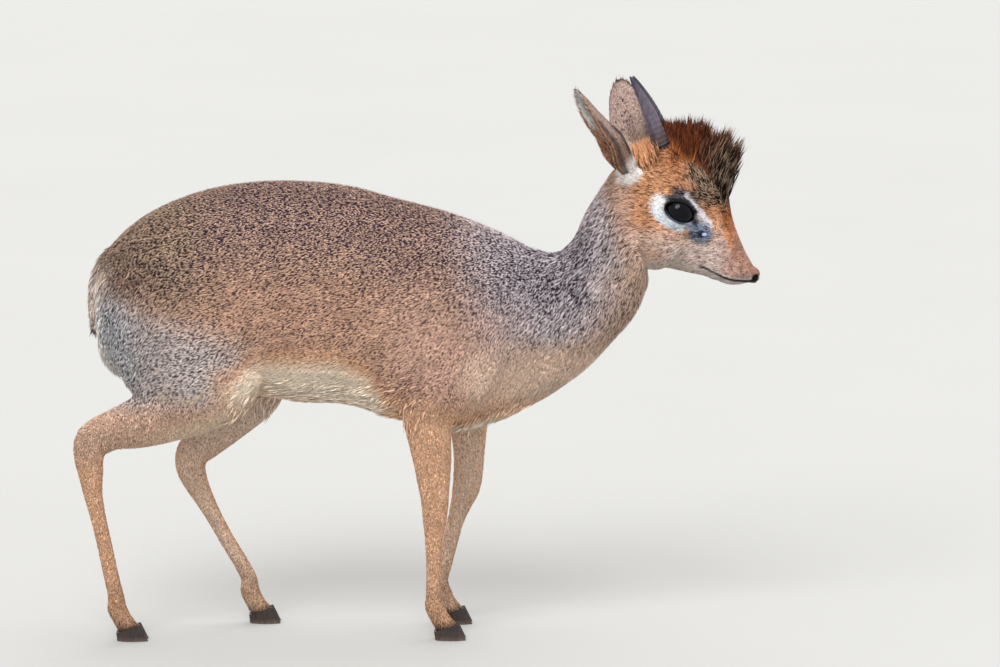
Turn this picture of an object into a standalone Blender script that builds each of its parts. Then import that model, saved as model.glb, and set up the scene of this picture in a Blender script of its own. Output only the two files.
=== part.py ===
"""Life-size solids of a standing adult male dik-dik (Kirk's type), a still museum model.

X runs along the body with the head at +X, the animal's right side is at -Y and Z is up.
Sizes below are in millimetres, and become metres where a mesh is made.
The animal is modelled whole, smoothed, and then parted by cuts 0.3 mm wide.
"""

import math
import random

import bmesh
import bpy
import numpy as np
from mathutils import Matrix, Vector
from mathutils.bvhtree import BVHTree

MM = 0.001
GAP = 0.3
VOXEL = 2.0
SHORT_EDGE = 0.05
DECIMATE_ATTEMPTS = 3
HEAL_ROUNDS = 3
RIGHT, LEFT = -1, 1

# Trunk, neck and head outlines: x and z of the back line, x and z of the belly line,
# half width, squareness of the section, and how much wider it is above than below.
TRUNK = [
    (-252, 283, -251, 252, 14, 2.0, 0.00),
    (-250, 306, -247, 232, 32, 2.1, 0.00),
    (-237, 330, -232, 216, 44, 2.1, 0.00),
    (-208, 354, -206, 214, 53, 2.2, 0.02),
    (-166, 372, -166, 208, 58, 2.2, -0.02),
    (-124, 380, -124, 202, 61, 2.2, -0.06),
    (-83, 381, -83, 196, 63, 2.2, -0.08),
    (-42, 377, -42, 193, 62, 2.2, -0.08),
    (0, 366, -2, 180, 58, 2.2, -0.06),
    (42, 355, 42, 171, 52, 2.1, 0.00),
    (79, 341, 83, 180, 44, 2.0, 0.02),
    (108, 326, 124, 199, 36, 2.0, 0.00),
]
NECK = [
    (95, 331, 106, 190, 39, 2.0, 0.00),
    (108, 326, 124, 199, 36, 2.0, 0.00),
    (129, 322, 154, 221, 33, 2.0, 0.02),
    (143, 333, 176, 244, 31, 2.0, 0.03),
    (152, 352, 196, 268, 29, 2.0, 0.03),
    (161, 368, 206, 293, 28, 2.0, 0.03),
    (173, 384, 207, 310, 28, 2.0, 0.05),
    (190, 390, 216, 318, 27, 2.0, 0.05),
]
HEAD = [
    (168, 378, 196, 316, 26, 2.0, 0.05),
    (177, 390, 203, 312, 29, 2.0, 0.08),
    (189, 399, 211, 309, 30, 2.1, 0.10),
    (203, 405, 219, 308, 30, 2.2, 0.12),
    (220, 409, 226, 307, 28, 2.2, 0.12),
    (239, 406, 235, 305, 25, 2.2, 0.08),
    (254, 397, 244, 303, 21, 2.1, 0.00),
    (266.5, 384, 253, 301, 18, 2.0, -0.14),
    (272.5, 368, 261, 298, 15.5, 2.0, -0.24),
    (276, 351, 269, 297, 13.5, 2.0, -0.26),
    (281, 336, 276, 296, 12.2, 2.0, -0.24),
    (287, 322, 282, 296, 11, 2.0, -0.16),
    (292, 313, 287, 296, 9.5, 2.0, -0.06),
    (296, 305, 291, 297, 6, 2.0, 0.00),
]

# Soft forms of the head: centre and half sizes, each also mirrored when it is off the middle.
HEAD_FORMS = {
    "cheek": ((219, 19, 336), (23, 11, 24)),
    "cheekbone": ((236, 18.5, 344), (19, 9, 8)),
    "brow": ((234, 17, 376), (19, 10, 9)),
    "temple": ((206, 18, 380), (18, 11, 20)),
    "gland_mound": ((255, 15.5, 339), (9.5, 6.5, 9)),
    "upper_lip": ((276, 7.5, 306), (15, 6.5, 7)),
    "nose_pad": ((293, 0, 303), (6, 8.5, 7)),
    "chin": ((277, 0, 299), (13, 8.5, 4.5)),
    "jaw_corner": ((213, 13, 318), (14, 9, 10)),
}

# The head is turned a little to the animal's right and lifted about its joint with the neck.
HEAD_JOINT = (195, 0, 345)
HEAD_YAW = 7.0
HEAD_LIFT = 0.4

EYE_RADIUS = 14.5
EYE_CENTRE = (232.8, 16.8, 358.0)
EYE_AXIS = (0.22, 0.96, 0.10)
EYE_TILT = 25.0
LID_THICKNESS = 2.6
LID_OPENING = (13.3, 9.2)

GLAND_PIT = (254.5, 22.5, 339.5)
GLAND_PIT_SIZE = (2.8, 3.0, 1.7)
NOSTRIL = (295.5, 5.6, 301.5)
NOSTRIL_SIZE = (3.6, 2.1, 2.8)
MOUTH_LINE = [(255, 311), (262, 306.5), (270, 302.5), (279, 300), (287, 299)]
MOUTH_FRONT_X = 294
MOUTH_GROOVE = 1.0
MOUTH_DEPTH = 2.2

HORN_BASE = (218.0, 13, 412.5)
HORN_TIPS = {RIGHT: (192.5, 15, 470), LEFT: (191.7, 16, 466)}
HORN_BASE_RADIUS = 7.0
HORN_TIP_RADIUS = 0.5
HORN_TAPER = 0.72
HORN_DEPTH_RATIO = 1.12
HORN_STEPS = 20
HORN_RINGS = 7
HORN_RINGED_SHARE = 0.62
HORN_RING_HEIGHT = 0.45
HORN_BEND = 2.0
HORN_ROOM_START = 0.1
# Depth below the horn's foot, and radius, of the furred root that carries it.
PEDICLE = ((-15, 8.2), (-8, 8.8), (-3, 8.4), (0, 7.3))

EAR_BASE = (190.5, 27, 397)
EAR_TIPS = {RIGHT: (154, 58, 464), LEFT: (176, 54, 457)}
EAR_FACING = {RIGHT: (-0.87, 0.49, 0.00), LEFT: (0.22, 0.97, 0.10)}
EAR_THICKNESS = 2.0
EAR_BOW = 6.0
EAR_ROWS = (0, 0.11, 0.22, 0.33, 0.44, 0.56, 0.67, 0.78, 0.89, 0.96, 1)
EAR_COLUMNS = 11
# Depth of the ear's root in the head, and its width as a share of the ear's.
EAR_ROOT = ((-26, 1.25), (-12, 1.2), (-4, 1.12), (0, 1.06))
# Share of the ear's length, half width along the curved leaf, half angle of the leaf's curl.
EAR_LEAF = [
    (0.00, 20.0, 150),
    (0.15, 23.5, 122),
    (0.32, 25.0, 96),
    (0.50, 24.0, 80),
    (0.68, 20.5, 66),
    (0.84, 14.5, 54),
    (0.95, 7.5, 44),
    (1.00, 2.4, 36),
]

# Limb centre lines from the body down: x, distance from the middle, z, half depth, half width.
FORE_RIGHT = [
    (46, 28, 312, 22, 12),
    (50, 34, 284, 34, 15),
    (52, 38, 250, 39, 17.5),
    (42, 40, 220, 35, 18),
    (28, 39, 200, 26, 16.5),
    (24, 37, 186, 22, 15),
    (25, 36, 169, 18.8, 13.5),
    (27, 35, 152, 16.8, 12),
    (28, 34, 135, 14.6, 11),
    (29, 33.5, 118, 12.4, 10.5),
    (29, 33, 101, 10.8, 9.5),
    (28, 32.5, 80, 7.8, 7.2),
    (28, 32, 59, 7.1, 6.6),
    (28, 32, 38, 7.4, 6.9),
]
FORE_LEFT = [
    (56, 28, 312, 22, 12),
    (64, 34, 284, 32, 15),
    (70, 38, 250, 36, 17.5),
    (68, 40, 220, 31, 18),
    (60, 39, 198, 24, 16),
    (57, 38, 180, 19, 14.5),
    (57, 36, 160, 15.5, 12.5),
    (57, 35, 140, 13.6, 11.5),
    (56, 34, 124, 13, 11),
    (54, 33.5, 113, 12, 10.5),
    (50.5, 33, 102, 9.8, 9.2),
    (46, 32.5, 88, 7.8, 7.4),
    (42, 32, 72, 7.2, 6.8),
    (37, 32, 52, 7.1, 6.6),
    (33, 32, 38, 7.4, 6.9),
]
HIND_RIGHT_THIGH = [
    (-188, 30, 340, 34, 16),
    (-184, 35, 305, 52, 22),
    (-178, 38, 270, 62, 26),
    (-172, 40, 238, 60, 25),
    (-158, 40, 214, 44, 22),
]
HIND_RIGHT = [
    (-124, 35, 236, 22, 13),
    (-136, 38, 228, 30, 17),
    (-150, 40, 218, 34, 20),
    (-172, 40, 206, 33, 19),
    (-196, 40, 193, 27, 17),
    (-218, 39, 184, 22, 14.5),
    (-238, 38, 178, 17.5, 12),
    (-253, 37, 169, 16.5, 11),
    (-257, 36.5, 156, 13.5, 10.5),
    (-256, 36, 143, 11.5, 9.5),
    (-254, 36, 124, 8.8, 8),
    (-250, 35.5, 104, 7.3, 7),
    (-245, 35, 81, 7.1, 6.7),
    (-240, 35, 56, 7.1, 6.6),
    (-236, 35, 38, 7.5, 7),
]
HIND_LEFT_THIGH = [
    (-186, 30, 338, 34, 16),
    (-176, 35, 302, 50, 22),
    (-158, 38, 266, 56, 26),
    (-142, 40, 234, 48, 25),
    (-128, 40, 212, 36, 22),
]
HIND_LEFT = [
    (-90, 35, 236, 20, 13),
    (-103, 38, 227, 27, 17),
    (-118, 40, 216, 30, 20),
    (-132, 40, 192, 28, 18),
    (-148, 39, 172, 22, 15),
    (-163, 38, 156, 17.5, 12.5),
    (-174, 37, 145, 15, 11),
    (-176, 36.5, 133, 13.5, 10.5),
    (-172, 36, 120, 11.3, 9.5),
    (-165, 36, 106, 9, 8),
    (-156, 35.5, 89, 7.4, 7),
    (-145, 35, 69, 7.1, 6.7),
    (-135, 35, 52, 7.1, 6.6),
    (-128, 35, 38, 7.5, 7),
]

# A foot below the fetlock, as steps forward and heights: joint, pastern and the root of the hoof.
FETLOCK = (1.0, 27, 9.0, 7.6)
PASTERN = (5.5, 18, 8.4, 7.4)
CORONET = (10.5, 10, 8.6, 7.8)
SOLE_ROOT = (14.0, 3, 8.0, 7.2)
FOOT = (FETLOCK, PASTERN, CORONET, SOLE_ROOT)
HOOF_CORONET_X = 10.5
HOOF_CORONET_Z = 11.0
HOOF_CORONET_SLOPE = 0.35
CLAW_CENTRE_X = 14.0
CLAW_LENGTH = 26.0
CLAW_TOP_LENGTH = 18.0
CLAW_WIDTH = 9.4
CLAW_SPREAD = 4.1
CLAW_SPLAY = 1.4
CLAW_TOP_HEIGHT = 22.0
CLAW_TOP_SETBACK = 6.5
CLAW_TOE_TAPER = 0.45
CLAW_STEPS = (0.0, 0.25, 0.6, 1.0)
CUTTER_SIZE = (40, 20, 20)

LIMBS = {
    "fore_right": (FORE_RIGHT, RIGHT),
    "fore_left": (FORE_LEFT, LEFT),
    "hind_right": (HIND_RIGHT, RIGHT),
    "hind_left": (HIND_LEFT, LEFT),
}

TAIL_ROOM = 0.35
TAIL = [
    (-236, 0, 323, 6.5, 8),
    (-245, 0, 313, 6.5, 9),
    (-251, 0, 299, 6.0, 8.5),
    (-253, 0, 284, 5.2, 7.5),
    (-253.5, 0, 270, 4.2, 5.8),
    (-253.5, 0, 258, 2.4, 3),
]

# Crest: rows of flat locks across the crown, from just before the horns to the forehead.
CREST_ROWS = 10
CREST_FIRST_X, CREST_LAST_X = 222, 264
CREST_HALF_WIDTH = 11
CREST_LEAN = (-6, 27)
CREST_FAN = 17
CREST_LENGTHS = (23, 41)
CREST_SIDE_LOSS = 0.28
LOCK_WIDTH = 12.5
LOCK_THICKNESS = 4.2
LOCK_SINK = 5.0
LOCK_STEPS = ((0.0, 0.8), (0.42, 1.0), (0.80, 0.66))
LOCK_CURL = 0.16
CREST_SEED = 7
# The crest's core under the locks reaches less than half way to their tips.
CREST_CORE = [
    (221, 417, 216, 396, 6, 2.0, 0.0),
    (232, 420, 226, 396, 10, 2.0, 0.0),
    (250, 416, 240, 392, 11, 2.0, 0.0),
    (270, 405, 252, 384, 9, 2.0, 0.0),
    (275, 395, 258, 378, 5, 2.0, 0.0),
]

# Cuts between nodes: a point on the cut, the cut's normal, and half sizes of its sheet.
CUTS = {
    "neck_base": ((116, 0, 262), (128, 0, 16), (100, 70)),
    "head_base": ((187, 0, 347), (72, 0, 27), (58, 60)),
    "fore_right": ((38, -39, 200), (0.05, -0.80, -0.60), (62, 44)),
    "fore_left": ((62, 39, 200), (0.05, 0.80, -0.60), (62, 44)),
    "hind_right": ((-175, -36, 219.4), (-0.165, -0.643, -0.748), (46, 85)),
    "hind_left": ((-165, 36, 218.5), (-0.166, 0.619, -0.768), (46, 100)),
}

# A point inside each piece that the cuts leave, and the triangles that the piece keeps.
PARTS = {
    "torso": ((-70, 0, 300), 2000),
    "neck": ((150, 0, 290), 600),
    "head": ((235, 0, 350), 3000),
    "leg_fore_right": ((28, -34, 110), 620),
    "leg_fore_left": ((52, 34, 110), 620),
    "leg_hind_right": ((-215, -37, 150), 820),
    "leg_hind_left": ((-150, 37, 150), 820),
}

COLOURS = {
    "coat_back": ((0.36, 0.29, 0.22), 0.90),
    "coat_neck": ((0.40, 0.35, 0.30), 0.90),
    "coat_head": ((0.52, 0.38, 0.26), 0.88),
    "coat_leg": ((0.55, 0.38, 0.24), 0.88),
    "coat_tail": ((0.42, 0.34, 0.27), 0.90),
    "coat_ear": ((0.45, 0.36, 0.28), 0.88),
    "horn": ((0.09, 0.08, 0.08), 0.45),
    "hoof": ((0.04, 0.035, 0.03), 0.40),
    "eye": ((0.02, 0.012, 0.01), 0.08),
}


def clear_scene():
    for obj in list(bpy.data.objects):
        bpy.data.objects.remove(obj, do_unlink=True)


def material(name):
    colour, roughness = COLOURS[name]
    mat = bpy.data.materials.new(name)
    mat.use_nodes = True
    shader = mat.node_tree.nodes["Principled BSDF"]
    shader.inputs["Base Color"].default_value = (*colour, 1.0)
    shader.inputs["Roughness"].default_value = roughness
    shader.inputs["Metallic"].default_value = 0.0
    return mat


def head_turn():
    """Matrix that yaws and lifts the head about its joint with the neck."""
    joint = Matrix.Translation(Vector(HEAD_JOINT))
    yaw = Matrix.Rotation(math.radians(-HEAD_YAW), 4, "Z")
    lift = Matrix.Rotation(math.radians(-HEAD_LIFT), 4, "Y")
    return joint @ yaw @ lift @ joint.inverted()


def smooth_rows(rows, steps):
    """Rows of numbers on a smooth curve through the given rows."""
    rows = np.array(rows, float)
    ends = np.vstack([2 * rows[0] - rows[1], rows, 2 * rows[-1] - rows[-2]])
    out = []
    for i in range(1, len(ends) - 2):
        a, b, c, d = ends[i - 1 : i + 3]
        for step in range(steps):
            t = step / steps
            even = 2 * b + (2 * a - 5 * b + 4 * c - d) * t * t
            odd = (c - a) * t + (3 * b - a - 3 * c + d) * t**3
            out.append(0.5 * (even + odd))
    out.append(rows[-1])
    return np.array(out)


def object_from(bm, name):
    """Closed mesh object from a bmesh in millimetres, with its faces pointing out."""
    bmesh.ops.recalc_face_normals(bm, faces=bm.faces)
    bmesh.ops.scale(bm, vec=(MM, MM, MM), verts=bm.verts)
    if bm.calc_volume(signed=True) < 0:
        bmesh.ops.reverse_faces(bm, faces=bm.faces)
    mesh = bpy.data.meshes.new(name)
    bm.to_mesh(mesh)
    bm.free()
    obj = bpy.data.objects.new(name, mesh)
    bpy.context.collection.objects.link(obj)
    return obj


def loft(name, rings, tip=None):
    """Closed skin over rings of points; a tip point may take the place of the last cap."""
    bm = bmesh.new()
    rows = [[bm.verts.new(p) for p in ring] for ring in rings]
    sides = len(rows[0])
    for low, high in zip(rows, rows[1:]):
        for k in range(sides):
            bm.faces.new((low[k], low[(k + 1) % sides], high[(k + 1) % sides], high[k]))
    caps = [(rows[0], None), (rows[-1], tip)]
    for row, point in caps:
        centre = bm.verts.new(point or sum((v.co for v in row), Vector()) / sides)
        for k in range(sides):
            bm.faces.new((row[k], row[(k + 1) % sides], centre))
    return object_from(bm, name)


def outline_form(name, stations, steps=4, sides=28):
    """Form whose sections stand between a back line and a belly line."""
    rings = []
    for top_x, top_z, low_x, low_z, half_width, power, egg in smooth_rows(stations, steps):
        centre = Vector((top_x + low_x, 0, top_z + low_z)) / 2
        rise = Vector((top_x - low_x, 0, top_z - low_z)) / 2
        ring = []
        for k in range(sides):
            angle = 2 * math.pi * k / sides
            up, side = math.cos(angle), math.sin(angle)
            up = math.copysign(abs(up) ** (2 / power), up)
            side = math.copysign(abs(side) ** (2 / power), side) * (1 + egg * up)
            ring.append(centre + rise * up + Vector((0, half_width * side, 0)))
        rings.append(ring)
    return loft(name, rings)


def limb_form(name, stations, side, steps=3, sides=20):
    """Form round a centre line, with its sections square to that line."""
    rows = smooth_rows(stations, steps)
    points = [Vector((row[0], side * row[1], row[2])) for row in rows]
    rings = []
    for i, row in enumerate(rows):
        along = (points[min(i + 1, len(points) - 1)] - points[max(i - 1, 0)]).normalized()
        depth = along.cross(Vector((0, 1, 0))).normalized()
        across = depth.cross(along).normalized()
        ring = []
        for k in range(sides):
            angle = 2 * math.pi * k / sides
            offset = depth * (row[3] * math.cos(angle)) + across * (row[4] * math.sin(angle))
            ring.append(points[i] + offset)
        rings.append(ring)
    return loft(name, rings)


def blob(name, centre, half_sizes, axes=None, level=3):
    """Ellipsoid, turned by a 3 x 3 matrix where one is given."""
    bm = bmesh.new()
    bmesh.ops.create_icosphere(bm, subdivisions=level, radius=1.0)
    turn = (axes or Matrix.Identity(3)).to_4x4()
    place = Matrix.Translation(Vector(centre)) @ turn @ Matrix.Diagonal((*half_sizes, 1.0))
    bmesh.ops.transform(bm, matrix=place, verts=bm.verts)
    return object_from(bm, name)


def frame_on(normal, hint=(0, 0, 1)):
    """Axes whose third one is the normal and whose second lies nearest the hint."""
    third = Vector(normal).normalized()
    first = Vector(hint).cross(third).normalized()
    second = third.cross(first)
    return Matrix((first, second, third)).transposed()


def box(name, centre, axes, half_sizes):
    bm = bmesh.new()
    bmesh.ops.create_cube(bm, size=2.0)
    place = Matrix.Translation(Vector(centre)) @ axes.to_4x4()
    place = place @ Matrix.Diagonal((*half_sizes, 1.0))
    bmesh.ops.transform(bm, matrix=place, verts=bm.verts)
    return object_from(bm, name)


def mirrored(point, side):
    return Vector((point[0], side * point[1], point[2]))


def apply_modifiers(obj):
    graph = bpy.context.evaluated_depsgraph_get()
    mesh = bpy.data.meshes.new_from_object(obj.evaluated_get(graph))
    obj.modifiers.clear()
    old = obj.data
    obj.data = mesh
    bpy.data.meshes.remove(old)
    return obj


def joined(name, pieces):
    """One object that holds the meshes of several, which are removed."""
    bm = bmesh.new()
    for piece in pieces:
        bm.from_mesh(piece.data)
        bpy.data.objects.remove(piece, do_unlink=True)
    mesh = bpy.data.meshes.new(name)
    bm.to_mesh(mesh)
    bm.free()
    obj = bpy.data.objects.new(name, mesh)
    bpy.context.collection.objects.link(obj)
    return obj


def melted(name, pieces, voxel, rounds):
    """Overlapping closed forms melted into one smooth skin."""
    obj = joined(name, pieces)
    remesh = obj.modifiers.new("melt", "REMESH")
    remesh.mode = "VOXEL"
    remesh.voxel_size = voxel * MM
    relax = obj.modifiers.new("relax", "SMOOTH")
    relax.factor = 0.5
    relax.iterations = rounds
    return apply_modifiers(obj)


def boolean(obj, tools, operation, solver="MANIFOLD"):
    """Applies one Boolean with a collection of closed objects, which are then removed."""
    group = bpy.data.collections.new("tools")
    for tool in tools:
        group.objects.link(tool)
    cut = obj.modifiers.new("boolean", "BOOLEAN")
    cut.operation = operation
    cut.operand_type = "COLLECTION"
    cut.collection = group
    cut.solver = solver
    apply_modifiers(obj)
    for tool in list(tools):
        bpy.data.objects.remove(tool, do_unlink=True)
    bpy.data.collections.remove(group)
    return obj


def shells(obj):
    """The closed surfaces of an object as face lists, the largest first."""
    bm = bmesh.new()
    bm.from_mesh(obj.data)
    bm.faces.ensure_lookup_table()
    left = set(bm.faces)
    found = []
    while left:
        start = left.pop()
        shell = [start]
        queue = [start]
        while queue:
            face = queue.pop()
            for edge in face.edges:
                for other in edge.link_faces:
                    if other in left:
                        left.remove(other)
                        shell.append(other)
                        queue.append(other)
        found.append(shell)
    found.sort(key=len, reverse=True)
    return bm, found


def keep_largest(obj):
    bm, found = shells(obj)
    for shell in found[1:]:
        bmesh.ops.delete(bm, geom=shell, context="FACES")
    loose = [v for v in bm.verts if not v.link_faces]
    bmesh.ops.delete(bm, geom=loose, context="VERTS")
    bm.to_mesh(obj.data)
    bm.free()
    return obj


def parted(whole):
    """Objects from the closed surfaces of the cut animal, named by the points inside them."""
    bm, found = shells(whole)
    pieces = {}
    centres = []
    for shell in found[: len(PARTS)]:
        verts = {v for face in shell for v in face.verts}
        centres.append((shell, sum((v.co for v in verts), Vector()) / len(verts)))
    for name, (point, _) in PARTS.items():
        goal = Vector(point) * MM
        shell = min(centres, key=lambda item: (item[1] - goal).length)[0]
        lookup = {}
        part = bmesh.new()
        for face in shell:
            corners = []
            for v in face.verts:
                if v.index not in lookup:
                    lookup[v.index] = part.verts.new(v.co)
                corners.append(lookup[v.index])
            part.faces.new(corners)
        mesh = bpy.data.meshes.new(name)
        part.to_mesh(mesh)
        part.free()
        pieces[name] = bpy.data.objects.new(name, mesh)
        bpy.context.collection.objects.link(pieces[name])
    bm.free()
    bpy.data.objects.remove(whole, do_unlink=True)
    return pieces


def closed(mesh):
    """Whether each edge of a mesh has two faces."""
    bm = bmesh.new()
    bm.from_mesh(mesh)
    whole = all(len(edge.link_faces) == 2 for edge in bm.edges)
    bm.free()
    return whole


def triangulated(mesh, short_edge):
    """Copy of a mesh in triangles, without edges under a length in millimetres."""
    bm = bmesh.new()
    bm.from_mesh(mesh)
    bmesh.ops.triangulate(bm, faces=bm.faces)
    if short_edge:
        bmesh.ops.dissolve_degenerate(bm, dist=short_edge * MM, edges=bm.edges)
        bmesh.ops.triangulate(bm, faces=bm.faces)
    copy = bpy.data.meshes.new(mesh.name)
    bm.to_mesh(copy)
    bm.free()
    return copy


def heal(obj):
    """Cuts out the faces round any open or doubled edge and fills the small hole again."""
    for _ in range(HEAL_ROUNDS):
        if closed(obj.data):
            return
        bm = bmesh.new()
        bm.from_mesh(obj.data)
        faulty = {v for e in bm.edges if len(e.link_faces) != 2 for v in e.verts}
        faces = {face for v in faulty for face in v.link_faces}
        bmesh.ops.delete(bm, geom=list(faces), context="FACES")
        rims = [e for e in bm.edges if len(e.link_faces) == 1]
        bmesh.ops.holes_fill(bm, edges=rims, sides=0)
        bmesh.ops.triangulate(bm, faces=bm.faces)
        bm.to_mesh(obj.data)
        bm.free()


def decimated(obj, triangles):
    """The object with fewer triangles, or slightly more than asked where that keeps it closed."""
    dense = triangulated(obj.data, SHORT_EDGE)
    if not closed(dense):
        dense = triangulated(obj.data, 0)
    for attempt in range(DECIMATE_ATTEMPTS):
        obj.data = dense.copy()
        reduce = obj.modifiers.new("fewer", "DECIMATE")
        reduce.ratio = triangles * (1 + 0.02 * attempt) / len(dense.polygons)
        apply_modifiers(obj)
        if closed(obj.data):
            break
    heal(obj)
    return keep_largest(obj)


def foot_stations(limb):
    """The limb's centre line with the joint, pastern and hoof root added below it."""
    x, y = limb[-1][0], limb[-1][1]
    return limb + [(x + step, y, z, depth, width) for step, z, depth, width in FOOT]


def coronet_axes():
    return frame_on((-HOOF_CORONET_SLOPE, 0, 1), hint=(0, 1, 0))


def hoof(name, limb, side):
    """Cloven hoof of two claws that fuse at the heel, flat below and cut along the coronet."""
    x, y = limb[-1][0], side * limb[-1][1]
    claws = []
    for inner in (-1, 1):
        rings = []
        for height in CLAW_STEPS:
            length = CLAW_LENGTH + (CLAW_TOP_LENGTH - CLAW_LENGTH) * height
            setback = CLAW_TOP_SETBACK * height
            ring = []
            for k in range(14):
                angle = 2 * math.pi * k / 14
                ahead, across = math.cos(angle), math.sin(angle)
                taper = 1 - CLAW_TOE_TAPER * max(0.0, ahead) ** 2
                toe = inner * CLAW_SPLAY * max(0.0, ahead) ** 2 * (1 - height)
                ring.append(Vector((
                    x + CLAW_CENTRE_X - setback + ahead * length / 2,
                    y + inner * CLAW_SPREAD + toe + across * taper * CLAW_WIDTH / 2,
                    height * CLAW_TOP_HEIGHT,
                )))
            rings.append(ring)
        claws.append(loft(f"{name}_claw", rings))
    boolean(claws[0], claws[1:], "UNION")
    axes = coronet_axes()
    top = Vector((x + HOOF_CORONET_X, y, HOOF_CORONET_Z - GAP))
    cutter = box("above", top + axes.col[2] * CUTTER_SIZE[2], axes, CUTTER_SIZE)
    boolean(claws[0], [cutter], "DIFFERENCE")
    claws[0].name = name
    return keep_largest(claws[0])


def foot_cutter(limb, side):
    """Block that clears the limb below its coronet for the hoof."""
    x, y = limb[-1][0], side * limb[-1][1]
    axes = coronet_axes()
    top = Vector((x + HOOF_CORONET_X, y, HOOF_CORONET_Z))
    return box("below", top - axes.col[2] * CUTTER_SIZE[2], axes, CUTTER_SIZE)


def horn_axis(side):
    base, tip = mirrored(HORN_BASE, side), mirrored(HORN_TIPS[side], side)
    return base, tip, (tip - base).normalized()


def horn(name, side, grown=0.0, start=GAP):
    """Short spike horn, slightly bent, ringed over its lower part; grown, it clears the crest."""
    base, tip, axis = horn_axis(side)
    tip = tip + axis * grown
    length = (tip - base).length
    axes = frame_on(axis, hint=(1, 0, 0))
    rings = []
    for step in range(HORN_STEPS):
        t = step / HORN_STEPS
        radius = HORN_BASE_RADIUS * (1 - t) ** HORN_TAPER + HORN_TIP_RADIUS * t
        ringed = t / HORN_RINGED_SHARE
        ridge = HORN_RING_HEIGHT * max(0.0, 1 - ringed) * math.cos(2 * math.pi * HORN_RINGS * ringed)
        bend = HORN_BEND * math.sin(math.pi * t)
        centre = base + axis * (start + t * (length - start)) + axes.col[1] * bend
        ring = []
        for k in range(10):
            angle = 2 * math.pi * k / 10
            spoke = axes.col[0] * math.cos(angle) + axes.col[1] * (HORN_DEPTH_RATIO * math.sin(angle))
            ring.append(centre + spoke * (radius + ridge + grown))
        rings.append(ring)
    return loft(name, rings, tip=tip)


def pedicle(side):
    """Flat-topped furred root of a horn on the crown."""
    base, _, axis = horn_axis(side)
    axes = frame_on(axis, hint=(1, 0, 0))
    rings = []
    for depth, radius in PEDICLE:
        ring = []
        for k in range(16):
            angle = 2 * math.pi * k / 16
            spoke = axes.col[0] * math.cos(angle) + axes.col[1] * math.sin(angle)
            ring.append(base + axis * depth + spoke * radius)
        rings.append(ring)
    return loft("pedicle", rings)


def ear_axes(side):
    """Base point, length, and the ear's own axes: across, towards its opening, along."""
    base, tip = mirrored(EAR_BASE, side), mirrored(EAR_TIPS[side], side)
    along = (tip - base).normalized()
    facing = mirrored(EAR_FACING[side], side)
    facing = (facing - along * facing.dot(along)).normalized()
    across = along.cross(facing)
    return base, (tip - base).length, across, facing, along


def ear_point(rows, t, s, inset, frame):
    """Point of the ear's leaf at share t of its length and s from -1 to 1 across it."""
    base, length, across, facing, along = frame
    half, curl = (np.interp(t, rows[:, 0], rows[:, k]) for k in (1, 2))
    curl = math.radians(curl)
    radius = half / curl
    angle = s * curl
    inner = max(radius - inset, 0.35 * radius)
    bow = EAR_BOW * math.sin(math.pi * t)
    back = facing * (radius * max(math.cos(curl), 0.0) + bow - inner * math.cos(angle))
    return base + along * (t * length) + across * (inner * math.sin(angle)) + back


def ear(name, side):
    """Curved leaf with an open cup, as one closed shell."""
    frame = ear_axes(side)
    frame = (frame[0] + frame[4] * GAP, frame[1] - GAP, *frame[2:])
    rows = smooth_rows(EAR_LEAF, 3)
    shares = EAR_ROWS
    spans = np.linspace(-1, 1, EAR_COLUMNS)
    bm = bmesh.new()
    grids = []
    for inset in (0.0, EAR_THICKNESS):
        grids.append([[bm.verts.new(ear_point(rows, t, s, inset, frame)) for s in spans] for t in shares])
    for grid in grids:
        for low, high in zip(grid, grid[1:]):
            for k in range(len(spans) - 1):
                bm.faces.new((low[k], low[k + 1], high[k + 1], high[k]))
    outer, inner = grids
    for k in range(len(spans) - 1):
        for row in (0, -1):
            bm.faces.new((outer[row][k], outer[row][k + 1], inner[row][k + 1], inner[row][k]))
    for j in range(len(shares) - 1):
        for edge in (0, -1):
            bm.faces.new((outer[j][edge], outer[j + 1][edge], inner[j + 1][edge], inner[j][edge]))
    bmesh.ops.triangulate(bm, faces=bm.faces)
    return object_from(bm, name)


def ear_root(side):
    """Solid stub on the head that carries the ear and floors its cup."""
    base, _, across, facing, along = ear_axes(side)
    radius = EAR_LEAF[0][1] / math.radians(EAR_LEAF[0][2])
    rings = []
    for depth, wide in EAR_ROOT:
        ring = []
        for k in range(18):
            angle = 2 * math.pi * k / 18
            spoke = across * math.cos(angle) + facing * math.sin(angle)
            ring.append(base + along * depth + spoke * radius * wide)
        rings.append(ring)
    return loft("ear_root", rings)


def eye_axes(side):
    """The eye's own axes: along its lids, upward across them, outward."""
    out = mirrored(EYE_AXIS, side).normalized()
    ahead = Vector((1, 0, 0))
    ahead = (ahead - out * ahead.dot(out)).normalized()
    ahead = Matrix.Rotation(math.radians(EYE_TILT * side), 3, out) @ ahead
    if ahead.z > 0:
        ahead = Matrix.Rotation(math.radians(-2 * EYE_TILT * side), 3, out) @ ahead
    up = out.cross(ahead)
    if up.z < 0:
        up = -up
    return Matrix((ahead, up, out)).transposed()


def lid_opening(side):
    """Almond prism that opens the lids over the eyeball."""
    axes = eye_axes(side)
    centre = mirrored(EYE_CENTRE, side)
    half_length, half_height = LID_OPENING
    rings = []
    for depth, flare in ((4.0, 0.94), (EYE_RADIUS + 12, 1.12)):
        ring = []
        for k in range(20):
            angle = 2 * math.pi * k / 20
            lift = math.copysign(abs(math.sin(angle)) ** 1.2, math.sin(angle))
            offset = Vector((half_length * math.cos(angle), half_height * lift, 0)) * flare
            ring.append(centre + axes @ (offset + Vector((0, 0, depth))))
        rings.append(ring)
    return loft("lid_opening", rings)


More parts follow.
